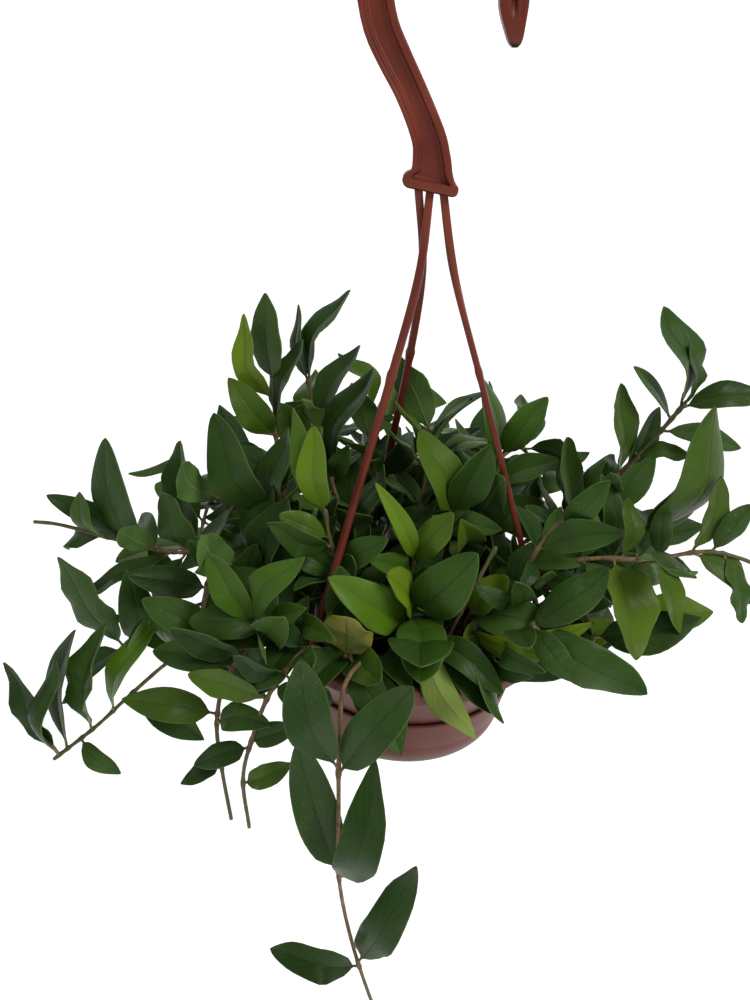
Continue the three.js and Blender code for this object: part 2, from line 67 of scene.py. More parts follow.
import bmesh
import bpy
from bpy.props import FloatProperty, FloatVectorProperty, IntProperty, PointerProperty
from bpy.types import Operator, Panel, PropertyGroup
from mathutils import Matrix, Vector, noise
from mathutils.bvhtree import BVHTree

CAD_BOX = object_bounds()
MM = 0.001
BODY = "root"

# Sizes that the pieces share, in metres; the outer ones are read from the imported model
POT_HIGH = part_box("hanging_pot")[1]
SAUCER_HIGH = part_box("saucer")[1]
MIX_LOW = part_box("potting_mix")[0]
HOOK_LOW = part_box("hanger_hook")[0]
RIM_R = POT_HIGH[0]
RIM_Z = POT_HIGH[2]
SAUCER_R = 57 * MM
SAUCER_LIP_R = SAUCER_HIGH[0]
SAUCER_H = SAUCER_HIGH[2]
FOOT_X = -5 * MM
FOOT_Z = HOOK_LOW[2]
FLANGE_R = 69 * MM
FLANGE_Z = 62 * MM
POT_BASE_Z = 4.3 * MM
POT_BASE_R = 44 * MM
WALL = 2 * MM
SOIL_EDGE_Z = 54 * MM
SOIL_DOME = 4 * MM
ARM_SLOT_R = 71.2 * MM
ARM_SLOT_SIZE = Vector((5.4, 6.6, 12)) * MM
DRAIN_R = 20 * MM
DRAIN_SIZE = Vector((9, 4, 12)) * MM
ARM_ANGLES = {"arm_front": -132, "arm_right": -12, "arm_back": 108}
ARM_SIDES = 16
ARM_OFFSETS = {"arm_front": 0, "arm_right": 6.5, "arm_back": -6.5}
UP = Vector((0, 0, 1))
ON_AXIS = 1e-6

# Place of the last leaves along a stem, and the ages that have a look of their own
LAST_NODE = 0.98
DEEP = -0.5
PALE = 1.2
OLD = 2


# ---- shape helpers ----------------------------------------------------------------------------

def wave(number):
    """A repeatable value from 0 to 1 for any number"""
    spread = math.sin(number * 12.9898) * 43758.5453
    return spread - math.floor(spread)


def smooth(low, high, value):
    share = min(max((value - low) / (high - low), 0), 1)
    return share * share * (3 - 2 * share)


def mix_numbers(low, high, share):
    return low + (high - low) * share


def polar(radius, angle):
    return radius * math.cos(angle), radius * math.sin(angle)


def circle(radius, count):
    """Points evenly round a circle, as pairs"""
    return [polar(radius, math.tau * i / count) for i in range(count)]


class Route:
    """A smooth curve through a few points, walked by its length"""

    def __init__(self, points, per_span=12):
        ends = [points[0] * 2 - points[1], *points, points[-1] * 2 - points[-2]]
        self.samples = [points[0].copy()]
        for span in range(len(points) - 1):
            four = ends[span:span + 4]
            self.samples += [self.between(four, step / per_span) for step in range(1, per_span + 1)]
        self.lengths = [0.0]
        for before, after in zip(self.samples, self.samples[1:]):
            self.lengths.append(self.lengths[-1] + (after - before).length)
        self.length = self.lengths[-1]

    @staticmethod
    def between(four, share):
        """Centripetal spline between the middle two of four points"""
        knots = [0.0]
        for before, after in zip(four, four[1:]):
            knots.append(knots[-1] + max((after - before).length, 1e-6) ** 0.5)
        at = knots[1] + (knots[2] - knots[1]) * share

        def blend(one, other, low, high):
            return one.lerp(other, (at - low) / (high - low))

        first = [blend(four[i], four[i + 1], knots[i], knots[i + 1]) for i in range(3)]
        second = [blend(first[i], first[i + 1], knots[i], knots[i + 2]) for i in range(2)]
        return blend(second[0], second[1], knots[1], knots[2])

    def point(self, share):
        goal = min(max(share, 0), 1) * self.length
        for i in range(1, len(self.samples)):
            if self.lengths[i] >= goal:
                span = self.lengths[i] - self.lengths[i - 1]
                along = (goal - self.lengths[i - 1]) / max(span, 1e-9)
                return self.samples[i - 1].lerp(self.samples[i], along)
        return self.samples[-1].copy()

    def tangent(self, share):
        step = 0.01
        return (self.point(min(share + step, 1)) - self.point(max(share - step, 0))).normalized()


class Shell:
    """Points, faces and per-point values that become one mesh piece"""

    def __init__(self, *values):
        self.points = []
        self.faces = []
        self.values = {name: [] for name in values}

    def add(self, point, **values):
        self.points.append(tuple(point))
        for name, held in self.values.items():
            held.append(tuple(values[name]))
        return len(self.points) - 1

    def bridge(self, one, other, closed=True):
        """Faces between two rings of the same count"""
        count = len(one)
        for i in range(count if closed else count - 1):
            j = (i + 1) % count
            self.faces.append((one[i], one[j], other[j], other[i]))

    def skin(self, rings, closed=True):
        """Faces between each ring and the next"""
        for one, other in zip(rings, rings[1:]):
            self.bridge(one, other, closed)

    def cap(self, ring, middle, flip=False):
        for i, point in enumerate(ring):
            after = ring[(i + 1) % len(ring)]
            self.faces.append((after, point, middle) if flip else (point, after, middle))

    def piece(self, name, material, slot):
        mesh = bpy.data.meshes.new(name)
        mesh.from_pydata(self.points, [], self.faces)
        for value, held in self.values.items():
            layer = mesh.attributes.new(value, "FLOAT_VECTOR", "POINT")
            layer.data.foreach_set("vector", [number for entry in held for number in entry])
        return as_piece(name, mesh, material)


def as_piece(name, mesh, material):
    """Put a mesh in the scene as a smooth piece that rides on the body"""
    work = bmesh.new()
    work.from_mesh(mesh)
    bmesh.ops.recalc_face_normals(work, faces=work.faces)
    work.to_mesh(mesh)
    work.free()
    mesh.polygons.foreach_set("use_smooth", [True] * len(mesh.polygons))
    mesh.materials.append(material)
    piece = bpy.data.objects.new(name, mesh)
    bpy.context.scene.collection.objects.link(piece)
    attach(piece, BODY)
    return piece


def softened(before, corner, after, radius, shares):
    """A corner between two points, rounded off"""
    back = before - corner
    ahead = after - corner
    cut = min(radius, back.length * 0.45, ahead.length * 0.45)
    start = corner + back.normalized() * cut
    end = corner + ahead.normalized() * cut
    return [start.lerp(corner, share).lerp(corner.lerp(end, share), share) for share in shares]


def rounded(profile, radius, steps):
    """An outline with its inner corners rounded off"""
    points = [Vector(p) for p in profile]
    shares = [step / steps for step in range(steps + 1)]
    result = [points[0]]
    for three in zip(points, points[1:], points[2:]):
        result += softened(*three, radius, shares)
    return [*result, points[-1]]


def lathe(shell, profile, segments):
    """Turn an outline of (radius, height) pairs round the upright axis"""
    rings = []
    for radius, height in profile:
        if radius < ON_AXIS:
            rings.append([shell.add((0, 0, height))])
        else:
            rings.append([shell.add((x, y, height)) for x, y in circle(radius, segments)])
    for one, other in zip(rings, rings[1:]):
        if len(one) == 1 and len(other) > 1:
            shell.cap(other, one[0])
        elif len(other) == 1 and len(one) > 1:
            shell.cap(one, other[0], flip=True)
        elif len(one) > 1:
            shell.bridge(one, other)


def carve(piece, cutters):
    """Cut other meshes out of a piece and keep the result as its mesh"""
    for cutter in cutters:
        modifier = piece.modifiers.new("cut", "BOOLEAN")
        modifier.operation = "DIFFERENCE"
        modifier.object = cutter
    bpy.context.view_layer.update()
    shaped = bpy.data.meshes.new_from_object(piece.evaluated_get(bpy.context.evaluated_depsgraph_get()))
    piece.modifiers.clear()
    piece.data = shaped
    for cutter in cutters:
        bpy.data.objects.remove(cutter)


def block(size, matrix):
    """A plain block used only to cut with"""
    work = bmesh.new()
    bmesh.ops.create_cube(work, size=1, matrix=matrix @ Matrix.Diagonal((*size, 1)))
    mesh = bpy.data.meshes.new("block")
    work.to_mesh(mesh)
    work.free()
    cutter = bpy.data.objects.new("block", mesh)
    bpy.context.scene.collection.objects.link(cutter)
    return cutter


# ---- shader helpers ---------------------------------------------------------------------------

class Value:
    """One output socket, so that sums on it add nodes"""

    def __init__(self, finish, socket):
        self.finish = finish
        self.socket = socket

    def maths(self, operation, *numbers):
        return self.finish.node("ShaderNodeMath", {"operation": operation}, numbers)

    def __add__(self, other):
        return self.maths("ADD", self, other)

    def __radd__(self, other):
        return self.maths("ADD", other, self)

    def __sub__(self, other):
        return self.maths("SUBTRACT", self, other)

    def __rsub__(self, other):
        return self.maths("SUBTRACT", other, self)

    def __mul__(self, other):
        return self.maths("MULTIPLY", self, other)

    def __rmul__(self, other):
        return self.maths("MULTIPLY", other, self)

    def __abs__(self):
        return self.maths("ABSOLUTE", self)

    def wave(self):
        return self.maths("COSINE", self)

    def above(self, low, high):
        """0 below low and 1 above high, with a soft step between"""
        return self.finish.node(
            "ShaderNodeMapRange", {"interpolation_type": "SMOOTHSTEP"},
            {"Value": self, "From Min": low, "From Max": high},
        )


class Finish:
    """A procedural material being put together"""

    def __init__(self, name, **even):
        self.material = bpy.data.materials.new(name)
        self.material.use_nodes = True
        self.tree = self.material.node_tree
        self.shader = next(n for n in self.tree.nodes if n.type == "BSDF_PRINCIPLED")
        for socket, value in even.items():
            self.shader.inputs[socket.replace("_", " ")].default_value = value

    def node(self, kind, settings=None, sockets=(), output=0):
        """Add a node: its settings are made first, then its sockets get values or links"""
        made = self.tree.nodes.new(kind)
        for key, value in (settings or {}).items():
            setattr(made, key, value)
        named = sockets.items() if isinstance(sockets, dict) else enumerate(sockets)
        for key, value in named:
            self.plug(made.inputs[key], value)
        return Value(self, made.outputs[output])

    def plug(self, socket, value):
        if isinstance(value, Value):
            self.tree.links.new(value.socket, socket)
        elif socket.type == "RGBA" and len(value) == 3:
            socket.default_value = (*value, 1)
        else:
            socket.default_value = value

    def vary(self, **sockets):
        for socket, value in sockets.items():
            self.plug(self.shader.inputs[socket.replace("_", " ")], value)

    def place(self):
        return self.node("ShaderNodeTexCoord", output="Object")

    def noise(self, scale, detail=4, roughness=0.55, where=None):
        sockets = {"Scale": scale, "Detail": detail, "Roughness": roughness, "Vector": where or self.place()}
        return self.node("ShaderNodeTexNoise", {}, sockets)

    def spots(self, scale, where=None):
        """Distance from scattered points"""
        return self.node("ShaderNodeTexVoronoi", {}, {"Scale": scale, "Vector": where or self.place()})

    def stretched(self, scale):
        return self.node("ShaderNodeMapping", {}, {"Vector": self.place(), "Scale": scale})

    def held(self, name):
        """The three numbers of a per-point value"""
        vector = self.node("ShaderNodeAttribute", {"attribute_name": name}, output="Vector")
        return [self.node("ShaderNodeSeparateXYZ", {}, [vector], output) for output in range(3)]

    def mix(self, factor, one, other):
        settings = {"data_type": "RGBA", "blend_type": "MIX", "clamp_factor": True}
        return self.node("ShaderNodeMix", settings, {0: factor, 6: one, 7: other}, output=2)

    def bump(self, height, strength, distance):
        sockets = {"Height": height, "Strength": strength, "Distance": distance}
        self.vary(Normal=self.node("ShaderNodeBump", {}, sockets))


# ---- shoots -----------------------------------------------------------------------------------

# Each shoot is a route for its stem, in mm, and its leaves. A leaf row is the place along the stem from
# 0 to 1, the leaf's tip, its width over its length, and how young it is from 0 to 1. PALE is a young leaf
# that shows its underside, DEEP a dark one, and OLD a round yellowing one.
SHOOTS = {
    "front_trail": [
        [[-12, -40], [-22, -70, 80], [-30, -84, 76], [-31, -89, 40], [-30, -90, 10], [-28, -88, -40],
         [-20, -86, -85], [-8, -84, -130], [0, -83, -155]],
        [[0.36, -50, -99, 98, 0.33], [0.37, 0, -103, 90, 0.31], [0.6, -50, -99, 54, 0.24, DEEP],
         [0.6, -14, -99, 46, 0.25, DEEP], [0.82, 10, -95, -22, 0.25, DEEP], [0.83, -62, -93, -88, 0.34, DEEP],
         [1, 20, -86, -178, 0.42, DEEP], [1, -16, -84, -192, 0.4, DEEP]],
    ],
    "crown_middle": [
        [[0, -26], [-2, -36, 76], [0, -43, 92]],
        [[1, 28, -54, 132, 0.52], [0.95, 4, -88, 82, 0.55, 0.35], [0.8, -41, -62, 119, 0.4, 0.7],
         [0.9, -14, -62, 122, 0.6, 0.9]],
    ],
    "crown_lime": [
        [[10, -34], [8, -48, 80], [4, -58, 88]],
        [[1, 30, -104, 65, 0.3, PALE], [0.85, 43, -84, 76, 0.32], [0.7, 44, -90, 64, 0.36],
         [0.6, 3, -96, 96, 0.62]],
    ],
    "crown_right": [
        [[22, -26], [26, -36, 78], [30, -42, 94]],
        [[1, 68, -64, 96, 0.52], [0.9, 44, -54, 120, 0.45, 0.65], [1, 60, -46, 122, 0.45],
         [0.75, 84, -66, 106, 0.24, 0.8], [0.5, 40, -86, 62, 0.5]],
    ],
    "crown_old": [
        [[-24, -38], [-28, -56, 74], [-31, -70, 82]],
        [[1, -31, -76, 107, 0.95, OLD], [0.7, -50, -84, 66, 0.5], [0.8, -12, -92, 62, 0.45],
         [0.9, -2, -93, 44, 0.42, 0.1], [0.6, -14, -90, 82, 0.5, 0.3], [0.5, 2, -86, 74, 0.5]],
    ],
    "left_fold": [
        [[-30, -28], [-50, -46, 80], [-66, -56, 92], [-76, -61, 90]],
        [[1, -98, -58, 126, 0.42], [1, -52, -64, 130, 0.4], [0.9, -50, -72, 108, 0.42],
         [0.85, -106, -64, 92, 0.45], [0.6, -36, -82, 98, 0.3], [0.55, -72, -78, 62, 0.45],
         [0.4, -36, -52, 120, 0.45]],
    ],
    "rise_far_left": [
        [[-32, 0], [-54, 0, 98], [-70, 2, 134], [-75, 10, 165], [-77, 16, 190]],
        [[1, -82, 20, 232, 0.5], [0.92, -92, 15, 222, 0.35, 0.9], [0.85, -62, 10, 212, 0.4],
         [0.8, -98, 4, 192, 0.42, 0.4], [0.6, -50, -4, 172, 0.45, 0.4], [0.6, -98, -4, 158, 0.42],
         [0.35, -86, -14, 120, 0.45, 0.6], [0.4, -40, -18, 140, 0.4]],
    ],
    "rise_left": [
        [[-20, 6], [-36, 12, 110], [-52, 16, 154], [-60, 20, 190]],
        [[1, -40, 20, 236, 0.42], [1, -66, 26, 226, 0.3], [0.85, -34, 30, 206, 0.5],
         [0.6, -26, 16, 198, 0.42], [0.62, -74, 12, 178, 0.4], [0.4, -18, 6, 150, 0.45],
         [0.42, -66, 4, 130, 0.4, 0.4]],
    ],
    "rise_bright": [
        [[-16, -14], [-30, -28, 94], [-42, -38, 126], [-45, -37, 142]],
        [[1, -52, -36, 184, 0.36, 0.75], [0.95, -62, -31, 190, 0.22, 0.5], [0.85, -66, -45, 142, 0.45, 0.5],
         [0.6, -14, -44, 132, 0.42], [0.55, -58, -50, 104, 0.45]],
    ],
    "rise_slender": [
        [[-4, -14], [-3, -24, 90], [0, -30, 114]],
        [[1, -22, -37, 158, 0.2, 0.9], [1, 16, -40, 146, 0.42], [0.8, -26, -46, 122, 0.4],
         [0.75, 24, -40, 112, 0.45]],
    ],
    "rise_middle": [
        [[14, -2], [15, -7, 100], [18, -10, 132]],
        [[1, -2, -16, 178, 0.45], [1, 34, -8, 170, 0.52], [0.85, 42, -26, 132, 0.4],
         [0.8, 20, -38, 142, 0.5, 0.5], [0.6, -12, -20, 126, 0.42], [0.6, 36, -20, 118, 0.42]],
    ],
    "rise_back": [
        [[4, 18], [4, 26, 110], [7, 30, 162]],
        [[1, -16, 30, 203, 0.42], [1, 26, 30, 182, 0.5], [0.85, -14, 27, 178, 0.35, 0.6],
         [0.8, 34, 26, 186, 0.5], [0.6, -22, 20, 140, 0.42], [0.6, 30, 16, 150, 0.45]],
    ],
    "rise_right": [
        [[26, 8], [34, 16, 110], [44, 18, 156]],
        [[1, 64, 18, 188, 0.45], [0.95, 30, 26, 194, 0.5], [0.8, 72, 8, 158, 0.5], [0.6, 42, -18, 156, 0.5],
         [0.55, 14, 4, 140, 0.42]],
    ],
    "reach_high_right": [
        [[32, 2], [64, 0, 108], [94, -6, 148], [114, -10, 180], [125, -10, 198]],
        [[1, 106, -10, 243, 0.5], [0.97, 119, -16, 228, 0.42], [0.94, 95, -18, 216, 0.3],
         [1, 164, -8, 204, 0.38], [0.9, 152, -20, 180, 0.4], [0.72, 92, -12, 206, 0.45, 0.3],
         [0.75, 118, 6, 190, 0.45], [0.6, 106, -20, 128, 0.45], [0.55, 74, 4, 172, 0.45, 0.4],
         [0.4, 54, -14, 140, 0.4], [0.4, 84, 10, 96, 0.4]],
    ],
    "reach_right": [
        [[38, -12], [74, -24, 96], [100, -29, 122], [112, -30, 138]],
        [[1, 128, -40, 206, 0.42, 0.3], [0.97, 136, -34, 174, 0.42], [0.8, 82, -26, 156, 0.45],
         [0.75, 116, -46, 102, 0.45], [0.5, 60, -34, 130, 0.42], [0.5, 92, -40, 84, 0.42]],
    ],
    "reach_level": [
        [[36, -22], [50, -38, 98], [66, -44, 123], [86, -45, 129], [110, -45, 130], [136, -45, 136],
         [152, -45, 134], [166, -45, 129]],
        [[0.6, 104, -74, 92, 0.62, 0.5], [0.62, 98, -37, 158, 0.42], [0.72, 114, -42, 158, 0.4],
         [0.72, 128, -58, 98, 0.42], [0.85, 154, -45, 162, 0.42], [0.88, 156, -58, 106, 0.42],
         [1, 192, -46, 116, 0.36], [1, 182, -44, 150, 0.36], [0.4, 86, -60, 118, 0.4]],
    ],
    "reach_curl": [
        [[34, -32], [48, -46, 102], [58, -49, 138], [69, -45, 151]],
        [[0.75, 48, -66, 122, 0.42], [0.95, 84, -52, 172, 0.4], [0.7, 82, -42, 126, 0.42],
         [0.5, 28, -56, 116, 0.35]],
    ],
    "drape_right": [
        [[30, -40], [44, -56, 82], [56, -66, 104]],
        [[1, 108, -86, 82, 0.36], [1, 76, -84, 84, 0.4], [0.9, 88, -60, 132, 0.4], [0.7, 60, -88, 92, 0.35]],
    ],
    "reach_left_long": [
        [[-26, -10], [-60, -15, 90], [-94, -19, 106], [-124, -16, 103], [-146, -15, 106], [-186, -10, 112],
         [-198, -9, 112]],
        [[0.72, -156, -14, 163, 0.48], [0.71, -188, -14, 130, 0.26], [0.56, -119, -14, 164, 0.42],
         [0.62, -178, -18, 76, 0.2], [0.58, -132, -26, 64, 0.42], [0.42, -72, -22, 146, 0.42],
         [0.45, -98, -34, 62, 0.42], [0.3, -44, -24, 118, 0.42], [0.32, -76, -34, 60, 0.4]],
    ],
    "reach_left_stub": [
        [[-22, -4], [-50, -8, 104], [-84, -11, 130], [-130, -10, 132]],
        [[0.62, -103, -10, 178, 0.42], [0.6, -66, -14, 174, 0.45], [0.75, -120, -22, 96, 0.42],
         [0.45, -92, -28, 108, 0.42], [0.4, -40, -22, 132, 0.42]],
    ],
    "drape_left": [
        [[-34, -18], [-78, -21, 84], [-118, -22, 72], [-154, -20, 44]],
        [[1, -183, -20, 98, 0.45], [0.95, -146, -26, 96, 0.4], [1, -186, -26, 10, 0.4],
         [0.75, -104, -38, 58, 0.4], [0.7, -138, -12, 104, 0.4], [0.5, -78, -34, 120, 0.42],
         [0.45, -80, -36, 34, 0.4]],
    ],
    "drape_left_low": [
        [[-40, -26], [-80, -36, 82], [-118, -40, 56], [-145, -40, 28], [-161, -45, 12], [-184, -50, -8]],
        [[1, -204, -50, 52, 0.26, DEEP], [1, -176, -54, 58, 0.2, 0], [0.95, -166, -50, 74, 0.26, DEEP],
         [0.86, -152, -46, 76, 0.38], [0.78, -126, -42, 78, 0.25, 0.8], [0.7, -102, -56, 16, 0.42],
         [0.9, -146, -58, -8, 0.4], [0.5, -78, -52, 52, 0.42], [0.5, -126, -52, 96, 0.4]],
    ],
    "trail_left": [
        [[-42, -38], [-70, -54, 82], [-88, -64, 62], [-93, -67, 36], [-90, -72, 12], [-85, -75, -18]],
        [[0.45, -124, -64, 74, 0.42], [0.5, -58, -78, 74, 0.4], [0.62, -140, -66, 46, 0.36],
         [0.65, -64, -84, 50, 0.42], [0.8, -110, -76, 4, 0.42]],
    ],
    "trail_left_inner": [
        [[-28, -46], [-48, -68, 84], [-64, -76, 66], [-74, -79, 36], [-78, -80, 14], [-75, -80, -18]],
        [[0.45, -40, -92, 62, 0.42], [0.5, -104, -78, 72, 0.4], [0.66, -52, -88, 52, 0.42],
         [0.68, -102, -80, 20, 0.42], [0.82, -54, -86, 30, 0.4]],
    ],
}

# Shoots round the back and inside: start angle, reach, height and the height of the tip, in degrees and mm
ROUND = [
    ("back_1", 150, 128, 112, 54), ("back_2", 126, 112, 136, 96), ("back_3", 98, 124, 104, 44),
    ("back_4", 86, 104, 142, 116), ("back_5", 66, 126, 108, 52), ("back_6", 49, 114, 138, 100),
    ("back_7", 24, 132, 106, 50), ("back_8", 2, 120, 116, 66), ("back_9", -24, 104, 104, 84),
    ("back_10", 172, 126, 122, 80), ("back_11", 200, 118, 104, 46), ("back_12", 116, 74, 150, 156),
    ("inner_1", 140, 44, 118, 128), ("inner_2", 78, 40, 124, 136), ("inner_3", 20, 46, 116, 122),
    ("inner_4", -40, 44, 100, 100), ("inner_5", 230, 42, 96, 98), ("inner_6", 186, 46, 112, 118),
    ("inner_7", -70, 36, 84, 88), ("inner_8", -105, 34, 82, 84), ("inner_9", -20, 56, 88, 86),
    ("inner_10", 205, 60, 90, 84), ("inner_11", 100, 50, 104, 108), ("inner_12", 50, 58, 108, 104),
    ("inner_13", 160, 62, 100, 100), ("inner_14", -55, 58, 80, 72),
]

# Bare stems, in mm
BARE = [
    [[14, -30], [22, -46, 90], [30, -52, 118], [36, -54, 136]],
]


def soil_top(radius):
    return SOIL_EDGE_Z + SOIL_DOME * (1 - (radius / FLANGE_R) ** 2)


class Leaf:
    """A bent blade from its base on a stem to its tip"""

    ROWS = [0, 0.03, 0.07, 0.13, 0.2, 0.28, 0.36, 0.45, 0.54, 0.63, 0.71, 0.79, 0.86, 0.92, 0.97, 1]
    COARSE_ROWS = [0.14, 0.35, 0.6, 0.85, 1]
    COLUMNS = [-1, -0.93, -0.7, -0.4, -0.12, 0, 0.12, 0.4, 0.7, 0.93, 1]
    COARSE_COLUMNS = [-1, -0.5, 0, 0.5, 1]
    STALK = 0.07
    MIDDLE_THICK = 0.42
    EDGE_THICK = 0.26

    def __init__(self, base, tip, width, youth, seed):
        self.base = base
        self.axis = (tip - base).normalized()
        self.length = (tip - base).length
        self.width = width
        self.youth = youth
        self.seed = seed
        self.bow = mix_numbers(-0.01, 0.17, wave(seed))
        self.fold = math.radians(mix_numbers(2, 26, wave(seed + 0.3)))
        self.curl = mix_numbers(-0.12, 0.34, wave(seed + 0.6))
        self.sway = mix_numbers(-0.09, 0.09, wave(seed + 0.9))
        self.twist = math.radians(mix_numbers(-34, 34, wave(seed + 1.2)))
        self.ripple = mix_numbers(0.0, 0.1, wave(seed + 1.5) ** 2)
        self.recurve = mix_numbers(0.0, 0.3, wave(seed + 1.8))
        self.lean = mix_numbers(0.8, 1.08, wave(seed + 2.7))
        self.fullness = mix_numbers(0.55, 0.78, wave(seed + 3.1))
        self.point = mix_numbers(-0.05, 0.25, wave(seed + 3.4))
        if youth == OLD:
            self.bow, self.fold, self.curl, self.recurve, self.point = 0.02, 0.03, 0.12, 0.0, 0.0
            self.lean, self.fullness = 0.98, 0.5
        self.turn(0)

    def turn(self, degrees):
        """Set which way the blade faces, turned about its own length"""
        face = Vector((self.base.x, self.base.y, 0)).normalized() * 0.5 + Vector((0, -0.5, 0.75))
        face = (face - self.axis * face.dot(self.axis)).normalized()
        self.face = Matrix.Rotation(math.radians(degrees), 3, self.axis) @ face
        self.side = self.axis.cross(self.face)

    def outline(self, share):
        """Half width at a place along the blade, 1 at its widest"""
        if share <= 0 or share >= 1:
            return 0
        body = math.sin(math.pi * share ** self.lean) ** self.fullness
        return body * (1 - self.point * smooth(0.72, 1, share)) * smooth(-0.04, 0.12, share)

    def at(self, share, across, lift=0.0):
        along = self.STALK + (1 - self.STALK) * share
        arch = math.sin(math.pi * along)
        hook = self.recurve * (smooth(0.45, 1, along) - along * 0.5) * arch
        middle = self.base + self.axis * (along * self.length)
        middle += self.face * (self.length * (self.bow * arch - hook))
        middle += self.side * (self.length * self.sway * arch)
        spin = self.twist * (along - 0.45)
        side = self.side * math.cos(spin) + self.face * math.sin(spin)
        face = self.face * math.cos(spin) - self.side * math.sin(spin)
        half = max(self.width * self.length * 0.5 * self.outline(share), 0.0004)
        reach = half * abs(across)
        rise = reach * math.sin(self.fold) - half * self.curl * across * across
        wavy = math.sin(math.tau * (share * 2.6 + self.seed + (0.5 if across > 0 else 0)))
        rise += half * self.ripple * wavy * across * across * 2
        spread = math.copysign(reach * math.cos(self.fold), across)
        return middle + side * spread + face * (rise + lift)

    def coarse(self):
        points = [self.at(row, column) for row in self.COARSE_ROWS for column in self.COARSE_COLUMNS]
        count = len(self.COARSE_COLUMNS)
        faces = []
        for row in range(len(self.COARSE_ROWS) - 1):
            for column in range(count - 1):
                first = row * count + column
                faces.append((first, first + 1, first + count + 1, first + count))
        return BVHTree.FromPolygons(points, faces)

    def claim(self):
        """What a crowd needs: the middle, how far the blade reaches from it, and a coarse blade"""
        return self.at(0.5, 0), self.length * 0.6, self.coarse()

    def build(self, shell):
        thin, thick = self.EDGE_THICK, self.MIDDLE_THICK
        life = (wave(self.seed + 2.1) + min(self.youth, 0), self.youth, wave(self.seed + 2.4))
        sheets = []
        for under in (0, 1):
            rows = []
            for row in self.ROWS:
                line = []
                for column in self.COLUMNS:
                    lift = mix_numbers(thick, thin, abs(column) ** 3) * MM * (-1 if under else 1)
                    point = self.at(row, column, lift)
                    line.append(shell.add(point, blade=(row, column, under), life=life))
                rows.append(line)
            sheets.append(rows)
        for rows in sheets:
            shell.skin(rows, closed=False)
        shell.bridge(*(self.rim(rows) for rows in sheets))

    @staticmethod
    def rim(rows):
        """The edge of a sheet of points, once round"""
        return rows[0] + [row[-1] for row in rows[1:-1]] + rows[-1][::-1] + [row[0] for row in rows[-2:0:-1]]


class Crowd:
    """The leaves placed so far, to keep new ones from cutting through them"""

    def __init__(self):
        self.items = []

    def add(self, centre, radius, tree):
        self.items.append((centre, radius, tree))

    def clashes(self, centre, radius, tree):
        count = 0
        for other, reach, held in self.items:
            if (other - centre).length < reach + radius:
                count += len(tree.overlap(held))
        return count

    def settle(self, leaf, turns, sizes):
        """Turn, bow and shorten the leaf until it clears the others, and say whether it does"""
        bow = leaf.bow
        full = leaf.length
        best = None
        for size, extra, degrees in itertools.product(sizes, (0, 0.1, -0.1), turns):
            leaf.length = full * size
            leaf.bow = bow + extra
            leaf.turn(degrees)
            count = self.clashes(*leaf.claim())
            if best is None or count < best[0]:
                best = (count, leaf.length, leaf.bow, degrees)
            if count == 0:
                break
        leaf.length, leaf.bow = best[1:3]
        leaf.turn(best[3])
        return best[0] == 0


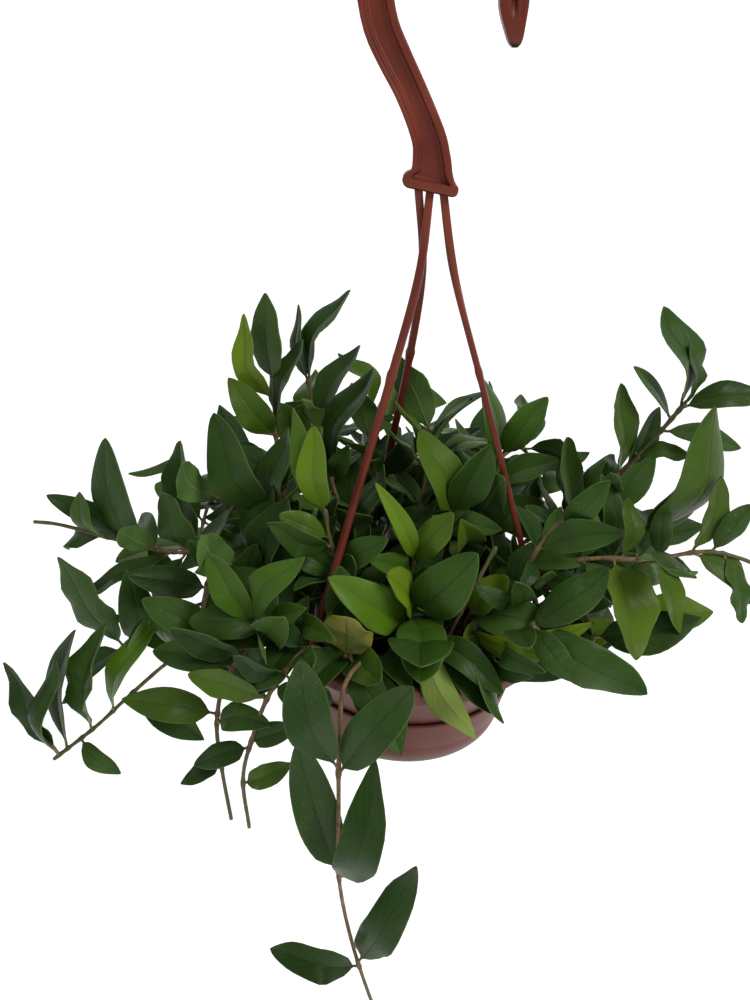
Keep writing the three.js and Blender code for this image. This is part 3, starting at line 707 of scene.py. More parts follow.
class Shoot:
    """One stem with its leaves"""

    # Turns in degrees, and sizes, that a leaf tries until it is clear of the others
    PALE_TURNS = (180, 160, 200)
    ROW_TURNS = (0, 18, -18, 34, -34, 52, -52, 70, -70)
    PAIR_TURNS = (0, 25, -25, 50, -50, 80, -80)
    PAIR_SIZES = (1, 0.85, 0.7, 0.55)

    def __init__(self, name, points, seed):
        self.name = name
        self.seed = seed
        self.route = Route([self.start(point) for point in points])
        self.leaves = []
        self.nodes = []
        self.tried = 0

    @staticmethod
    def start(point):
        if len(point) == 3:
            return Vector(point) * MM
        flat = Vector((point[0], point[1])) * MM
        return Vector((flat.x, flat.y, soil_top(flat.length) - 6 * MM))

    def add_leaf(self, share, tip, width, youth, turns, crowd, sizes=(1, 0.92), spare=False):
        """Grow a leaf; a spare one is left out where it can't clear the others"""
        at = min(share, LAST_NODE)
        self.tried += 1
        leaf = Leaf(self.route.point(at), tip, width, youth, self.seed + self.tried * 1.37)
        clear = crowd.settle(leaf, turns, sizes)
        if spare and not clear:
            return
        crowd.add(*leaf.claim())
        self.leaves.append(leaf)
        self.nodes.append(at)

    def place_rows(self, rows, crowd):
        for share, x, y, z, width, *youth in rows:
            tip = Vector((x, y, z)) * MM
            plain = 0.12 * wave(x) + 0.36 * smooth(0.7, 0.95, wave(x + z * 0.37))
            age = youth[0] if youth else plain
            self.add_leaf(share, tip, width, age, self.PALE_TURNS if age == PALE else self.ROW_TURNS, crowd)

    def place_pairs(self, crowd, spacing, first=0.28, last=LAST_NODE, longest=56):
        """Opposite pairs that turn a quarter from node to node and lift towards the light"""
        count = max(1, round(self.route.length * (last - first + 0.28) / spacing))
        for i in range(1, count + 1):
            share = first + (last - first) * i / count
            base = self.route.point(share)
            along = self.route.tangent(share)
            side = Vector((-along.y, along.x, 0)).normalized()
            over = along.cross(side)
            turn = math.radians(20 if i % 2 == 0 else 75) + (wave(self.seed + i) - 0.5) * 0.7
            for hand in (-1, 1):
                length = (longest - 22 + 22 * wave(self.seed * 3 + i * 7 + hand)) * MM
                way = side * hand * math.cos(turn) + over * hand * math.sin(turn)
                way = (way + along * 0.45 + Vector((0, 0, 0.42))).normalized()
                youth = smooth(0.6, 1, share) * wave(self.seed + i * 3) * 0.8
                width = 0.38 + 0.1 * wave(self.seed + i * 5)
                tip = base + way * length
                self.add_leaf(share, tip, width, youth, self.PAIR_TURNS, crowd, self.PAIR_SIZES, spare=True)

    def swelling(self, share):
        """How much a joint thickens the stem here"""
        near = min(abs(share - node) * self.route.length for node in [*self.nodes, 9])
        return math.exp(-(near / (1.8 * MM)) ** 2)

    def build_stem(self, settings, finish):
        shell = Shell("growth")
        steps = max(10, round(self.route.length / (2.5 * MM)))

        def radius(share):
            plain = mix_numbers(settings.stem_radius, settings.stem_radius * 0.8, share)
            wobble = 1 + 0.12 * (wave(self.seed + round(share * steps)) - 0.5)
            return plain * wobble + settings.joint_swell * self.swelling(share)

        points = [self.route.point(i / steps) for i in range(steps + 1)]
        growth = [(i / steps, self.swelling(i / steps), wave(self.seed)) for i in range(steps + 1)]
        tube(shell, points, [radius(i / steps) for i in range(steps + 1)], 10, growth)
        for leaf in self.leaves:
            knee = leaf.base.lerp(leaf.at(0, 0), 0.5)
            start, end = leaf.at(0, 0, -0.2 * MM), leaf.at(0.1, 0, -0.3 * MM)
            stalk = Route([leaf.base, knee, start, end], per_span=3)
            points = [stalk.point(i / 6) for i in range(7)]
            widths = [mix_numbers(0.85, 0.45, i / 6) * MM for i in range(7)]
            tube(shell, points, widths, 7, [(0.6 + leaf.youth * 0.3, 0, 0.5)] * 7)
        shell.piece(f"stem_{self.name}", finish, "stem")

    def build_leaves(self, finish):
        shell = Shell("blade", "life")
        for leaf in self.leaves:
            leaf.build(shell)
        return shell.piece(f"leaves_{self.name}", finish, "leaf")


def tube(shell, points, radii, sides, growth):
    """A round tube with domed ends along some points"""
    rings = []
    across = None
    for i, point in enumerate(points):
        along = (points[min(i + 1, len(points) - 1)] - points[max(i - 1, 0)]).normalized()
        if across is None:
            across = along.orthogonal().normalized()
        across = (across - along * across.dot(along)).normalized()
        other = along.cross(across)
        spokes = [across * u + other * v for u, v in circle(1, sides)]
        rings.append([shell.add(point + spoke * radii[i], growth=growth[i]) for spoke in spokes])
    shell.skin(rings)
    for ring, step, i in ((rings[0], points[0] - points[1], 0), (rings[-1], points[-1] - points[-2], -1)):
        dome = shell.add(points[i] + step.normalized() * radii[i] * 0.7, growth=growth[i])
        shell.cap(ring, dome, flip=i == 0)


def round_points(index, degrees, reach, height, end):
    """The route of a shoot that is set out by angle"""
    def at(radius, rise, twist):
        x, y = polar(radius, math.radians(degrees + twist))
        return [x, y + 4] if rise is None else [x, y + 4, rise]

    return [
        at(20 + 5 * (index % 4), None, 0), at(reach * 0.55, height * 0.86, 5),
        at(reach * 0.85, height, 0), at(reach, end, -5),
    ]


# ---- bowl, saucer and potting mix ---------------------------------------------------------------

def pot_radius(height):
    return mix_numbers(POT_BASE_R, FLANGE_R, (height - POT_BASE_Z) / (FLANGE_Z - POT_BASE_Z))


def pot_profile(settings):
    """The bowl's closed outline: foot ring, sloped wall, flange, rolled rim and the inside"""
    low = POT_BASE_Z
    floor = low + WALL
    band = RIM_Z - settings.rim_band
    return [
        (30 * MM, low), (30 * MM, 2 * MM), (33 * MM, 2 * MM), (33 * MM, low), (POT_BASE_R - 2 * MM, low),
        (POT_BASE_R, low + 2.2 * MM), (pot_radius(30 * MM) + 0.3 * MM, 30 * MM),
        (pot_radius(FLANGE_Z - 5 * MM), FLANGE_Z - 5 * MM), (FLANGE_R, FLANGE_Z - 0.4 * MM),
        (RIM_R - 1.5 * MM, FLANGE_Z), (RIM_R - 1.5 * MM, band), (RIM_R - 0.2 * MM, band),
        (RIM_R, RIM_Z - 1.6 * MM), (RIM_R - 1.7 * MM, RIM_Z), (FLANGE_R - WALL + 1.2 * MM, RIM_Z),
        (FLANGE_R - WALL - 0.6 * MM, FLANGE_Z), (pot_radius(floor) - WALL, floor), (30 * MM, floor),
    ]


def make_pot(settings, finish):
    shell = Shell()
    outline = rounded(pot_profile(settings), settings.edge_radius, 3)
    lathe(shell, [(0, POT_BASE_Z), *outline, (0, outline[-1][1])], settings.segments)
    pot = shell.piece("bowl", finish, "pot_plastic")
    cutters = []
    for degrees in ARM_ANGLES.values():
        turn = Matrix.Rotation(math.radians(degrees), 4, "Z")
        cutters.append(block(ARM_SLOT_SIZE, turn @ Matrix.Translation((ARM_SLOT_R, 0, RIM_Z))))
    for index in range(settings.drains):
        turn = Matrix.Rotation(math.tau * index / settings.drains, 4, "Z")
        cutters.append(block(DRAIN_SIZE, turn @ Matrix.Translation((DRAIN_R, 0, POT_BASE_Z))))
    carve(pot, cutters)
    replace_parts(pot, "hanging_pot")


def make_saucer(settings, finish):
    wall = settings.saucer_wall
    fillet = settings.saucer_fillet
    flat = SAUCER_R - 1 * MM - fillet

    def arc(radius, first, last):
        steps = 14
        turns = [math.radians(mix_numbers(first, last, i / steps)) for i in range(steps + 1)]
        return [(flat + radius * math.cos(a), fillet + radius * math.sin(a)) for a in turns]

    outline = [(34 * MM, 0), *arc(fillet, -90, 0), (SAUCER_LIP_R, SAUCER_H - 1.1 * MM)]
    outline += [(SAUCER_LIP_R - 0.5 * MM, SAUCER_H), (SAUCER_LIP_R - wall, SAUCER_H - 0.2 * MM)]
    outline += arc(fillet - wall, 0, -90)
    outline += [(26 * MM, wall), (25 * MM, wall + 0.7 * MM), (23.8 * MM, wall + 0.7 * MM), (23 * MM, wall)]
    shell = Shell()
    lathe(shell, [(0, 0), *rounded(outline, 0.4 * MM, 2), (0, wall)], settings.segments)
    saucer = shell.piece("drip_saucer", finish, "pot_plastic")
    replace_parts(saucer, "saucer")


LUMP_SCALE = 130
CHIP_CORNERS = [
    (-1, -1, -1), (1, -0.8, -1), (0.9, 1, -1), (-0.8, 0.9, -1),
    (-0.8, -0.9, 1), (0.9, -0.7, 0.9), (0.8, 0.8, 1), (-0.7, 0.7, 0.8),
]


def make_mix(settings, finish, chip_finish):
    """A lumpy bed of potting mix with bark chips lying on it"""
    shell = Shell()
    edge = pot_radius(SOIL_EDGE_Z) - WALL - 0.6 * MM
    floor = MIX_LOW[2]
    rings = []
    for r in range(settings.rings):
        radius = edge * (1 - r / settings.rings)
        ring = []
        for x, y in circle(radius, settings.segments):
            lump = noise.fractal(Vector((x, y, 0)) * LUMP_SCALE, 1, 2, 4) * settings.lump * smooth(0, 3, r)
            ring.append(shell.add((x, y, soil_top(radius) + lump)))
        rings.append(ring)
    outer = circle(pot_radius(floor) - WALL - 0.8 * MM, settings.segments)
    bottom = [shell.add((x, y, floor)) for x, y in outer]
    shell.skin([bottom, *rings])
    shell.cap(rings[-1], shell.add((0, 0, soil_top(0))))
    shell.cap(bottom, shell.add((0, 0, floor)), flip=True)
    bed = shell.piece("mix_bed", finish, "potting_mix")
    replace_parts(bed, "potting_mix")
    chips = Shell()
    for index in range(settings.chips):
        radius = edge * 0.93 * wave(index + 0.1) ** 0.5
        flat = polar(radius, math.tau * wave(index + 0.4))
        place = Vector((*flat, soil_top(radius) + 0.8 * MM))
        turn = Matrix.Rotation(math.tau * wave(index + 0.7), 3, Vector((wave(index), 0.4, 1)).normalized())
        length = mix_numbers(1.6, 5.5, wave(index + 0.9) ** 2) * MM
        corners = []
        for x, y, z in CHIP_CORNERS:
            corner = Vector((x * length / 2, y * length * 0.3, z * length * 0.16))
            corners.append(chips.add(place + turn @ corner))
        chips.bridge(corners[:4], corners[4:])
        chips.faces += [tuple(corners[:4][::-1]), tuple(corners[4:])]
    chips.piece("bark_chips", chip_finish, "potting_mix")


# ---- hanger -------------------------------------------------------------------------------------

def swept(shell, stations):
    """Skin a row of closed loops of points, with both ends filled"""
    loops = [[shell.add(point) for point in loop] for loop in stations]
    shell.skin(loops)
    for end, flip in ((0, True), (-1, False)):
        middle = sum(stations[end], Vector()) / len(stations[end])
        shell.cap(loops[end], shell.add(middle), flip=flip)


def hook_stations(settings):
    """Middle, half width, half depth and how open the recess is, from the foot to the tip"""
    foot = [(-0.3, 10.4, 4.7, 0), (-0.3, 11.7, 5.2, 0.7), (-0.3, 12.4, 5.4, 1.8), (-0.3, 12.7, 5.5, 3.2),
            (-0.3, 12.3, 5.4, 4.8), (-0.2, 11.1, 5.1, 6.3), (-0.1, 9.9, 4.8, 7.7), (-0.1, 9.1, 4.6, 9.4),
            (-0.3, 8.7, 4.5, 12)]
    rows = [(FOOT_X + x * MM, FOOT_Z + z * MM, half * MM, deep * MM) for x, half, deep, z in foot]
    run = [(-0.9, 8.2, 16), (-2, 7.7, 21), (-6, 7.2, 30), (-12.5, 7, 42), (-20, 7.4, 54), (-26, 7.6, 65)]
    rows += [(FOOT_X + x * MM, FOOT_Z + z * MM, half * MM, 4.5 * MM) for x, half, z in run]
    bend_x = -5.5 * MM
    bend_z = 364 * MM
    bend = settings.bend_radius
    steps = 20
    for i in range(steps + 1):
        angle = math.radians(178 - 178 * i / steps)
        half = mix_numbers(7.6, 6.2, i / steps) * MM
        rows.append((bend_x + bend * math.cos(angle), bend_z + bend * math.sin(angle), half, 4.5 * MM))
    end = bend_x + bend
    tip = [(0.3, -3, 6, 4.5), (0.9, -7, 5.2, 4.5), (1.6, -11, 4.2, 4.3), (2.2, -14.5, 3.3, 3.8),
           (2.5, -16.6, 2.4, 3.1), (2.6, -18, 1.1, 1.9)]
    rows += [(end + x * MM, bend_z + z * MM, half * MM, deep * MM) for x, z, half, deep in tip]
    return rows


def girder(half, deep, flange, web, soft):
    """A closed I outline with softened corners, round from the front left"""
    lip = flange * 1.2
    step = min(deep - web, 0.3 * MM)
    edge = [(0, -deep), (0.45, -deep), (0.52, -deep + step), (0.74, -deep + step), (0.8, -deep), (1, -deep)]
    quarter = [(-half + flange * u, v) for u, v in edge] + [(-half + lip, -web), (half - lip, -web)]
    quarter += [(half - flange, -deep), (half, -deep)]
    corners = [Vector(corner) for corner in quarter + [(-u, -v) for u, v in quarter]]
    outline = []
    for i, corner in enumerate(corners):
        after = corners[(i + 1) % len(corners)]
        outline += softened(corners[i - 1], corner, after, soft, (0, 0.33, 0.67, 1))
    return outline


def make_hook(settings, finish):
    rows = hook_stations(settings)
    line = Route([Vector((row[0], 0, row[1])) for row in rows], per_span=3)
    # The sizes run along a route of their own, with a rising third number that keeps its points apart
    sizes = Route([Vector((*row[2:], i * 0.01)) for i, row in enumerate(rows)], per_span=3)
    count = len(line.samples)
    stations = []
    for i, middle in enumerate(line.samples):
        along = line.samples[min(i + 1, count - 1)] - line.samples[max(i - 1, 0)]
        along.normalize()
        side = Vector((along.z, 0, -along.x))
        half, deep = sizes.samples[i].xy
        share = line.lengths[i] / line.length
        opened = smooth(0.018, 0.03, share) * (1 - smooth(0.9, 0.95, share))
        web = mix_numbers(deep, settings.web / 2, opened)
        closing = smooth(0.82, 0.94, share)
        flange = min(mix_numbers(settings.flange, half * 0.9, closing), half * 0.75)
        lean = settings.foot_lean * (1 - smooth(0.0, 0.07, share))
        loop = []
        for u, v in girder(half, deep, flange, web, settings.edge_radius):
            loop.append(middle + side * u + Vector((0, v, -u * lean)))
        stations.append(loop)
    shell = Shell()
    swept(shell, stations)
    hook = shell.piece("hook", finish, "hanger_plastic")
    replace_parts(hook, "hanger_hook")


def arm_route(name):
    angle = math.radians(ARM_ANGLES[name])
    out = Vector((math.cos(angle), math.sin(angle), 0))
    top = Vector((FOOT_X + ARM_OFFSETS[name] * 0.85 * MM, 0, FOOT_Z + 2 * MM))

    def at(radius, height):
        return out * radius + Vector((0, 0, height))

    knee = top.lerp(at(12 * MM, FOOT_Z - 40 * MM), 0.72)
    knee.z = FOOT_Z - 34 * MM
    return out, Route([
        top, knee, at(27 * MM, FOOT_Z - 85 * MM), at(46 * MM, FOOT_Z - 138 * MM),
        at(64 * MM, FOOT_Z - 190 * MM), at(ARM_SLOT_R, RIM_Z + 8 * MM), at(ARM_SLOT_R, FLANGE_Z - 5 * MM),
    ])


def make_arm(name, settings, finish):
    """A strap with a raised middle, small nubs along it and a knob under the rim"""
    out, route = arm_route(name)
    across = Vector((-out.y, out.x, 0))
    shell = Shell()
    steps = 90
    stations = []
    for i in range(steps + 1):
        share = i / steps
        along = route.tangent(share)
        # The straps leave the foot side by side, all facing the front, and turn outwards lower down
        turned = Vector((-1 if across.x < 0 else 1, 0, 0)).lerp(across, smooth(0.0, 0.28, share))
        side = (turned - along * turned.dot(along)).normalized()
        face = along.cross(side)
        nub = sum(math.exp(-((share - at) * route.length / (1.5 * MM)) ** 2) for at in (0.36, 0.83))
        wide = settings.arm_width / 2 + nub * 0.9 * MM
        thick = settings.arm_thick / 2 + nub * 0.5 * MM
        loop = []
        for k in range(ARM_SIDES):
            angle = math.tau * (k + 0.5) / ARM_SIDES
            u = math.copysign(abs(math.cos(angle)) ** 0.55, math.cos(angle)) * wide
            v = math.copysign(abs(math.sin(angle)) ** 0.55, math.sin(angle)) * thick
            loop.append(route.point(share) + side * u + face * v)
        stations.append(loop)
    swept(shell, stations)
    under_rim = UP * (FLANGE_Z - 4.4 * MM)
    knob = Route([out * (ARM_SLOT_R + x * MM) + under_rim for x in (-2.4, -1, 0.6, 2.6)])
    shoulders = [1.2, 2, 2.3, 2.3, 2.2, 1.6]
    knob_stations = []
    for i, wide in enumerate(shoulders):
        centre = knob.point(i / (len(shoulders) - 1))
        knob_stations.append([centre + (across * u + UP * v) * wide * MM for u, v in circle(1, ARM_SIDES)])
    swept(shell, knob_stations)
    arm = shell.piece(f"hanger_{name}", finish, "hanger_plastic")
    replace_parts(arm, name)


# ---- materials ----------------------------------------------------------------------------------

def plastic(name, dark, light, rough, seed):
    """Satin moulded plastic with soft flow marks, fine grain, dust, rubbed spots and painted shade on faces
    that look down
    """
    finish = Finish(name, Roughness=rough, Specular_IOR_Level=0.25)
    where = finish.place() if seed == 0 else finish.node(
        "ShaderNodeMapping", {}, {"Vector": finish.place(), "Location": (seed, seed, seed)},
    )
    flow = finish.noise(24, 3, 0.5, where)
    grain = finish.noise(1400, 2, 0.6, where)
    dust = finish.noise(90, 5, 0.65, where)
    colour = finish.mix(flow.above(0.35, 0.68), dark, light)
    colour = finish.mix(dust.above(0.6, 0.82) * 0.07, colour, (0.3, 0.22, 0.17))
    specks = finish.spots(520, where)
    flecks = (1 - specks.above(0.05, 0.1)) * dust.above(0.5, 0.62)
    colour = finish.mix(flecks * 0.2, colour, (0.4, 0.32, 0.25))
    # Faces that look down get painted shade: their colour is darkened almost to black
    down = finish.node("ShaderNodeNewGeometry", output="Normal")
    painted_underside_shade = 1 - finish.node("ShaderNodeSeparateXYZ", {}, [down], 2).above(-0.72, -0.3)
    colour = finish.mix(painted_underside_shade * 0.9, colour, (0.006, 0.0015, 0.0015))
    finish.vary(Base_Color=colour, Roughness=rough + (flow - 0.5) * 0.16 + dust.above(0.5, 0.8) * 0.12)
    finish.bump(grain * 0.5 + flow * 0.5, 0.08, 0.0003)
    return finish.material


def bowl_skin(settings):
    return plastic("bowl_skin", tuple(settings.dark), tuple(settings.light), 0.42, 0)


def hanger_skin(settings):
    return plastic("hanger_skin", tuple(settings.dark), tuple(settings.light), 0.4, 3)


def mix_skin(settings):
    finish = Finish("mix_skin", Roughness=0.92, Specular_IOR_Level=0.2)
    clumps = finish.noise(160, 6, 0.65)
    fibres = finish.noise(520, 4, 0.7, finish.stretched((1, 0.25, 1)))
    crumbs = finish.spots(700)
    colour = finish.mix(clumps.above(0.36, 0.66), tuple(settings.mix_dark), tuple(settings.mix_light))
    colour = finish.mix(fibres.above(0.62, 0.74) * 0.6, colour, (0.1, 0.06, 0.032))
    finish.vary(Base_Color=colour, Roughness=0.8 + clumps * 0.2)
    finish.bump(clumps + fibres * 0.4 - crumbs * 0.5, 0.7, 0.0012)
    return finish.material


def bark_skin():
    finish = Finish("bark_skin", Roughness=0.85, Specular_IOR_Level=0.25)
    grain = finish.noise(900, 5, 0.7, finish.stretched((0.3, 1, 1)))
    tint = finish.noise(60, 2)
    colour = finish.mix(grain.above(0.35, 0.7), (0.022, 0.012, 0.007), (0.085, 0.047, 0.026))
    colour = finish.mix(tint.above(0.5, 0.7) * 0.5, colour, (0.14, 0.095, 0.06))
    finish.vary(Base_Color=colour, Roughness=0.74 + grain * 0.24)
    finish.bump(grain, 0.6, 0.0006)
    return finish.material


def stem_skin(settings):
    """Tan bark low down, green at the young end, with darker rings at the joints"""
    finish = Finish("stem_skin", Roughness=0.6, Specular_IOR_Level=0.35)
    share, swelling, tone = finish.held("growth")
    streaks = finish.noise(420, 4, 0.65, finish.stretched((1, 1, 0.3)))
    patches = finish.noise(75, 4, 0.6)
    colour = finish.mix(streaks.above(0.35, 0.68), tuple(settings.stem_dark), tuple(settings.stem_light))
    colour = finish.mix(patches.above(0.5, 0.7) * 0.5, colour, (0.29, 0.21, 0.115))
    green = (share + (patches - 0.5) * 0.5 + tone * 0.15).above(0.66, 1.02)
    colour = finish.mix(green * 0.8, colour, (0.06, 0.085, 0.018))
    colour = finish.mix(swelling * 0.5, colour, (0.05, 0.03, 0.015))
    finish.vary(Base_Color=colour, Roughness=0.68 - green * 0.2 + streaks * 0.1)
    finish.bump(streaks + patches * 0.6, 0.5, 0.0005)
    return finish.material


def leaf_skin(settings):
    """Waxy leaf: a creased midrib, faint side veins, a thin pale edge, a pale underside, specks and scars"""
    finish = Finish("leaf_skin", Roughness=0.4, Specular_IOR_Level=0.15)
    along, across, under = finish.held("blade")
    tone, youth, chance = finish.held("life")
    side = abs(across)
    cloud = finish.noise(46, 4, 0.6)
    fine = finish.noise(330, 4, 0.65)
    young = (youth + (cloud - 0.5) * 0.2).above(0.06, 0.95) * (1 - youth.above(1.3, 1.6))
    old = youth.above(1.3, 1.6)

    # Blade colours: from dark to mid by leaf, then towards lime when young and olive when old
    top = finish.mix(tone * 0.75 + (cloud - 0.5) * 0.8, tuple(settings.leaf_dark), tuple(settings.leaf_light))
    top = finish.mix(young, top, finish.mix(chance, (0.08, 0.19, 0.007), (0.15, 0.23, 0.01)))
    top = finish.mix(old, top, finish.mix(cloud.above(0.4, 0.6), (0.1, 0.12, 0.018), (0.2, 0.185, 0.03)))
    below = finish.mix(young, (0.09, 0.17, 0.04), (0.24, 0.32, 0.07))
    below = finish.mix(old, below, (0.25, 0.23, 0.06))

    # One half of the blade catches the light a little more than the other
    top = finish.mix(across.above(-0.05, 0.05) * 0.1, top, (0.08, 0.14, 0.045))
    bloom = cloud.above(0.5, 0.72) * fine.above(0.42, 0.6)
    top = finish.mix(bloom * (1 - young) * 0.2, top, (0.1, 0.13, 0.07))

    bands = (along * 46 - side * 17 + (cloud - 0.5) * 6).wave() - 0.6
    veins = bands.above(0, 0.38) * (1 - side.above(0.72, 0.94))
    top = finish.mix(veins * 0.07, top, (0.07, 0.13, 0.04))
    below = finish.mix(veins * 0.2, below, (0.14, 0.2, 0.07))
    rib = 1 - side.above(0.02, 0.075)
    top = finish.mix(rib * 0.34, top, finish.mix(young, (0.008, 0.022, 0.005), (0.09, 0.16, 0.02)))
    below = finish.mix(rib * 0.7, below, (0.19, 0.25, 0.09))
    colour = finish.mix(under, top, below)

    rim = side.above(0.925, 0.975) * (1 - old)
    colour = finish.mix(rim * 0.3, colour, (0.12, 0.19, 0.06))
    specks = 1 - finish.spots(300).above(0.06, 0.11)
    colour = finish.mix(specks * cloud.above(0.5, 0.6) * 0.4, colour, (0.3, 0.34, 0.24))
    pits = 1 - finish.spots(150).above(0.08, 0.16)
    pitting = pits * fine.above(0.5, 0.62) * (0.18 - young * 0.12 + old * 0.7)
    colour = finish.mix(pitting, colour, (0.05, 0.042, 0.014))
    scar = chance.above(0.93, 0.95) * (side * 0.5 + fine * 0.75 + along * 0.15).above(0.95, 1.02)
    colour = finish.mix(scar * 0.8, colour, (0.07, 0.048, 0.016))
    tip = (along + (fine - 0.5) * 0.04).above(0.975, 1.0) * chance.above(0.45, 0.55)
    colour = finish.mix(tip, colour, (0.08, 0.045, 0.018))

    rough = 0.4 + under * 0.16 + (cloud - 0.5) * 0.3 + veins * 0.05 + scar * 0.3 + bloom * 0.12
    finish.vary(Base_Color=colour, Roughness=rough)
    ridge = veins * 0.25 + under * rib * 1.2 - (1 - under) * rib * 0.7
    finish.bump(ridge + fine * 0.22 + cloud * 0.9 - pits * 0.1, 0.4, 0.0006)
    return finish.material


def backdrop_white():
    finish = Finish(
        "backdrop_white", Roughness=0.95, Specular_IOR_Level=0,
        Emission_Color=(1, 1, 1, 1), Emission_Strength=0.5,
    )
    finish.vary(Base_Color=finish.mix(finish.noise(3, 2), (0.93, 0.93, 0.93), (0.96, 0.96, 0.96)))
    return finish.material


def kept(maker, *settings):
    """The material a maker gives, made once"""
    held = bpy.data.materials.get(maker.__name__)
    if held is None:
        held = maker(*settings)
        held.name = maker.__name__
    return held


# ---- shoots, stage ------------------------------------------------------------------------------

def obstacles(crowd):
    """The bowl and the hanger arms, which leaves keep clear of"""
    for name in ("bowl", *(f"hanger_{arm}" for arm in ARM_ANGLES)):
        mesh = bpy.data.objects[name].data
        low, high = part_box("hanging_pot" if name == "bowl" else name.removeprefix("hanger_"))
        tree = BVHTree.FromPolygons([v.co for v in mesh.vertices], [tuple(p.vertices) for p in mesh.polygons])
        crowd.add((low + high) / 2, (high - low).length / 2, tree)


def make_shoots(settings):
    """All the shoots: the ones set out one by one first, then the ones round the back"""
    crowd = Crowd()
    obstacles(crowd)
    shoots = []
    for index, (name, (route, rows)) in enumerate(SHOOTS.items()):
        shoot = Shoot(name, route, index * 11.3 + settings.seed)
        shoot.place_rows(rows, crowd)
        shoots.append(shoot)
    for shoot in shoots:
        if not shoot.name.startswith(("crown", "front")):
            last = 0.4 if shoot.name.startswith(("trail", "drape_left")) else 0.8
            shoot.place_pairs(crowd, settings.fill_spacing, 0.1, last, 44)
    for index, (name, *course) in enumerate(ROUND):
        shoot = Shoot(name, round_points(index, *course), index * 17 + 3)
        shoot.place_pairs(crowd, settings.spacing)
        shoot.place_pairs(crowd, settings.fill_spacing, 0.12, 0.6, 42)
        shoots.append(shoot)
    for shoot in shoots:
        shoot.build_stem(settings, kept(stem_skin, settings))
        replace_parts(shoot.build_leaves(kept(leaf_skin, settings)), f"shoot_{shoot.name}")


def make_old_stems(settings):
    """Bare cut stems left among the leaves"""
    for index, points in enumerate(BARE):
        shoot = Shoot(f"bare_{index + 1}", points, 90.7 + index * 5.1)
        shoot.nodes = [0.3, 0.55, 0.8, 0.97]
        shoot.build_stem(settings, kept(stem_skin, settings))


def make_backdrop(settings):
    """A pale floor that curves up behind the plant"""
    shell = Shell()
    floor = CAD_BOX[0].z - settings.floor_drop
    radius = settings.sweep_radius
    back = settings.floor_depth
    line = [(-back, floor), (back - radius, floor)]
    for degrees in range(10, 91, 10):
        angle = math.radians(degrees)
        line.append((back - radius + radius * math.sin(angle), floor + radius * (1 - math.cos(angle))))
    line.append((back, floor + back * 2))
    rows = [[shell.add((x * back * 2, y, z)) for y, z in line] for x in (-1, 1)]
    shell.bridge(rows[0], rows[1], closed=False)
    mesh = bpy.data.meshes.new("backdrop")
    mesh.from_pydata(shell.points, [], shell.faces)
    mesh.polygons.foreach_set("use_smooth", [True] * len(mesh.polygons))
    mesh.materials.append(kept(backdrop_white))
    backdrop = bpy.data.objects.new("backdrop", mesh)
    bpy.context.scene.collection.objects.link(backdrop)


def add_light(name, place, aim, size, watts, colour):
    data = bpy.data.lights.new(name, "AREA")
    data.shape = "DISK"
    data.size = size
    data.energy = watts
    data.color = colour
    light = bpy.data.objects.new(name, data)
    light.location = place
    light.rotation_euler = (Vector(aim) - Vector(place)).to_track_quat("-Z", "Y").to_euler()
    bpy.context.scene.collection.objects.link(light)


def make_camera(settings):
    data = bpy.data.cameras.new("camera")
    data.sensor_fit = "AUTO"
    data.sensor_width = 36
    data.lens = settings.lens
    data.clip_start = 0.01
    camera = bpy.data.objects.new("camera", data)
    down = settings.pitch
    ahead = Vector((0, math.cos(down), -math.sin(down)))
    right = Vector((1, 0, 0))
    above = right.cross(ahead)
    roll = settings.roll
    across = right * math.cos(roll) + above * math.sin(roll)
    upward = above * math.cos(roll) - right * math.sin(roll)
    axes = Matrix((across, upward, -ahead)).transposed().to_4x4()
    camera.matrix_world = Matrix.Translation(Vector(settings.camera_place)) @ axes
    bpy.context.scene.collection.objects.link(camera)
    bpy.context.scene.camera = camera


def make_world(strength):
    world = bpy.data.worlds.new("studio")
    world.use_nodes = True
    background = next(n for n in world.node_tree.nodes if n.type == "BACKGROUND")
    background.inputs["Color"].default_value = (1, 1, 1, 1)
    background.inputs["Strength"].default_value = strength
    bpy.context.scene.world = world


# ---- settings -----------------------------------------------------------------------------------

def length(name, description, default):
    return FloatProperty(
        name=name, description=description, default=default, min=0, subtype="DISTANCE", unit="LENGTH",
    )


def colour(name, description, default):
    return FloatVectorProperty(
        name=name, description=description, default=default, size=3, min=0, max=1, subtype="COLOR",
    )


def whole(name, description, default):
    return IntProperty(name=name, description=description, default=default, min=1)


class PlantPotSettings(PropertyGroup):
    """Sizes of the bowl, its saucer and the potting mix"""

    segments: whole("Segments", "Steps round the bowl and the saucer", 128)
    drains: whole("Drains", "Slots in the floor of the bowl", 6)
    rim_band: length("Rim Band", "Height of the rolled band under the rim", 0.007)
    edge_radius: length("Edge Radius", "Softness of the bowl's edges", 0.0009)
    saucer_wall: length("Saucer Wall", "Wall thickness of the saucer", 0.0016)
    saucer_fillet: length("Saucer Fillet", "Radius between the saucer's floor and its wall", 0.018)
    rings: whole("Mix Rings", "Rings of points in the bed of mix", 26)
    lump: length("Lumps", "Height of the lumps in the mix", 0.0022)
    chips: whole("Bark Chips", "Bark chips lying on the mix", 420)
    dark: colour("Dark Colour", "Deeper colour of the bowl and the saucer", (0.125, 0.035, 0.026))
    light: colour("Light Colour", "Lighter colour of the bowl and the saucer", (0.165, 0.05, 0.037))
    mix_dark: colour("Mix Dark", "Deeper colour of the mix", (0.009, 0.006, 0.004))
    mix_light: colour("Mix Light", "Lighter colour of the mix", (0.032, 0.02, 0.012))


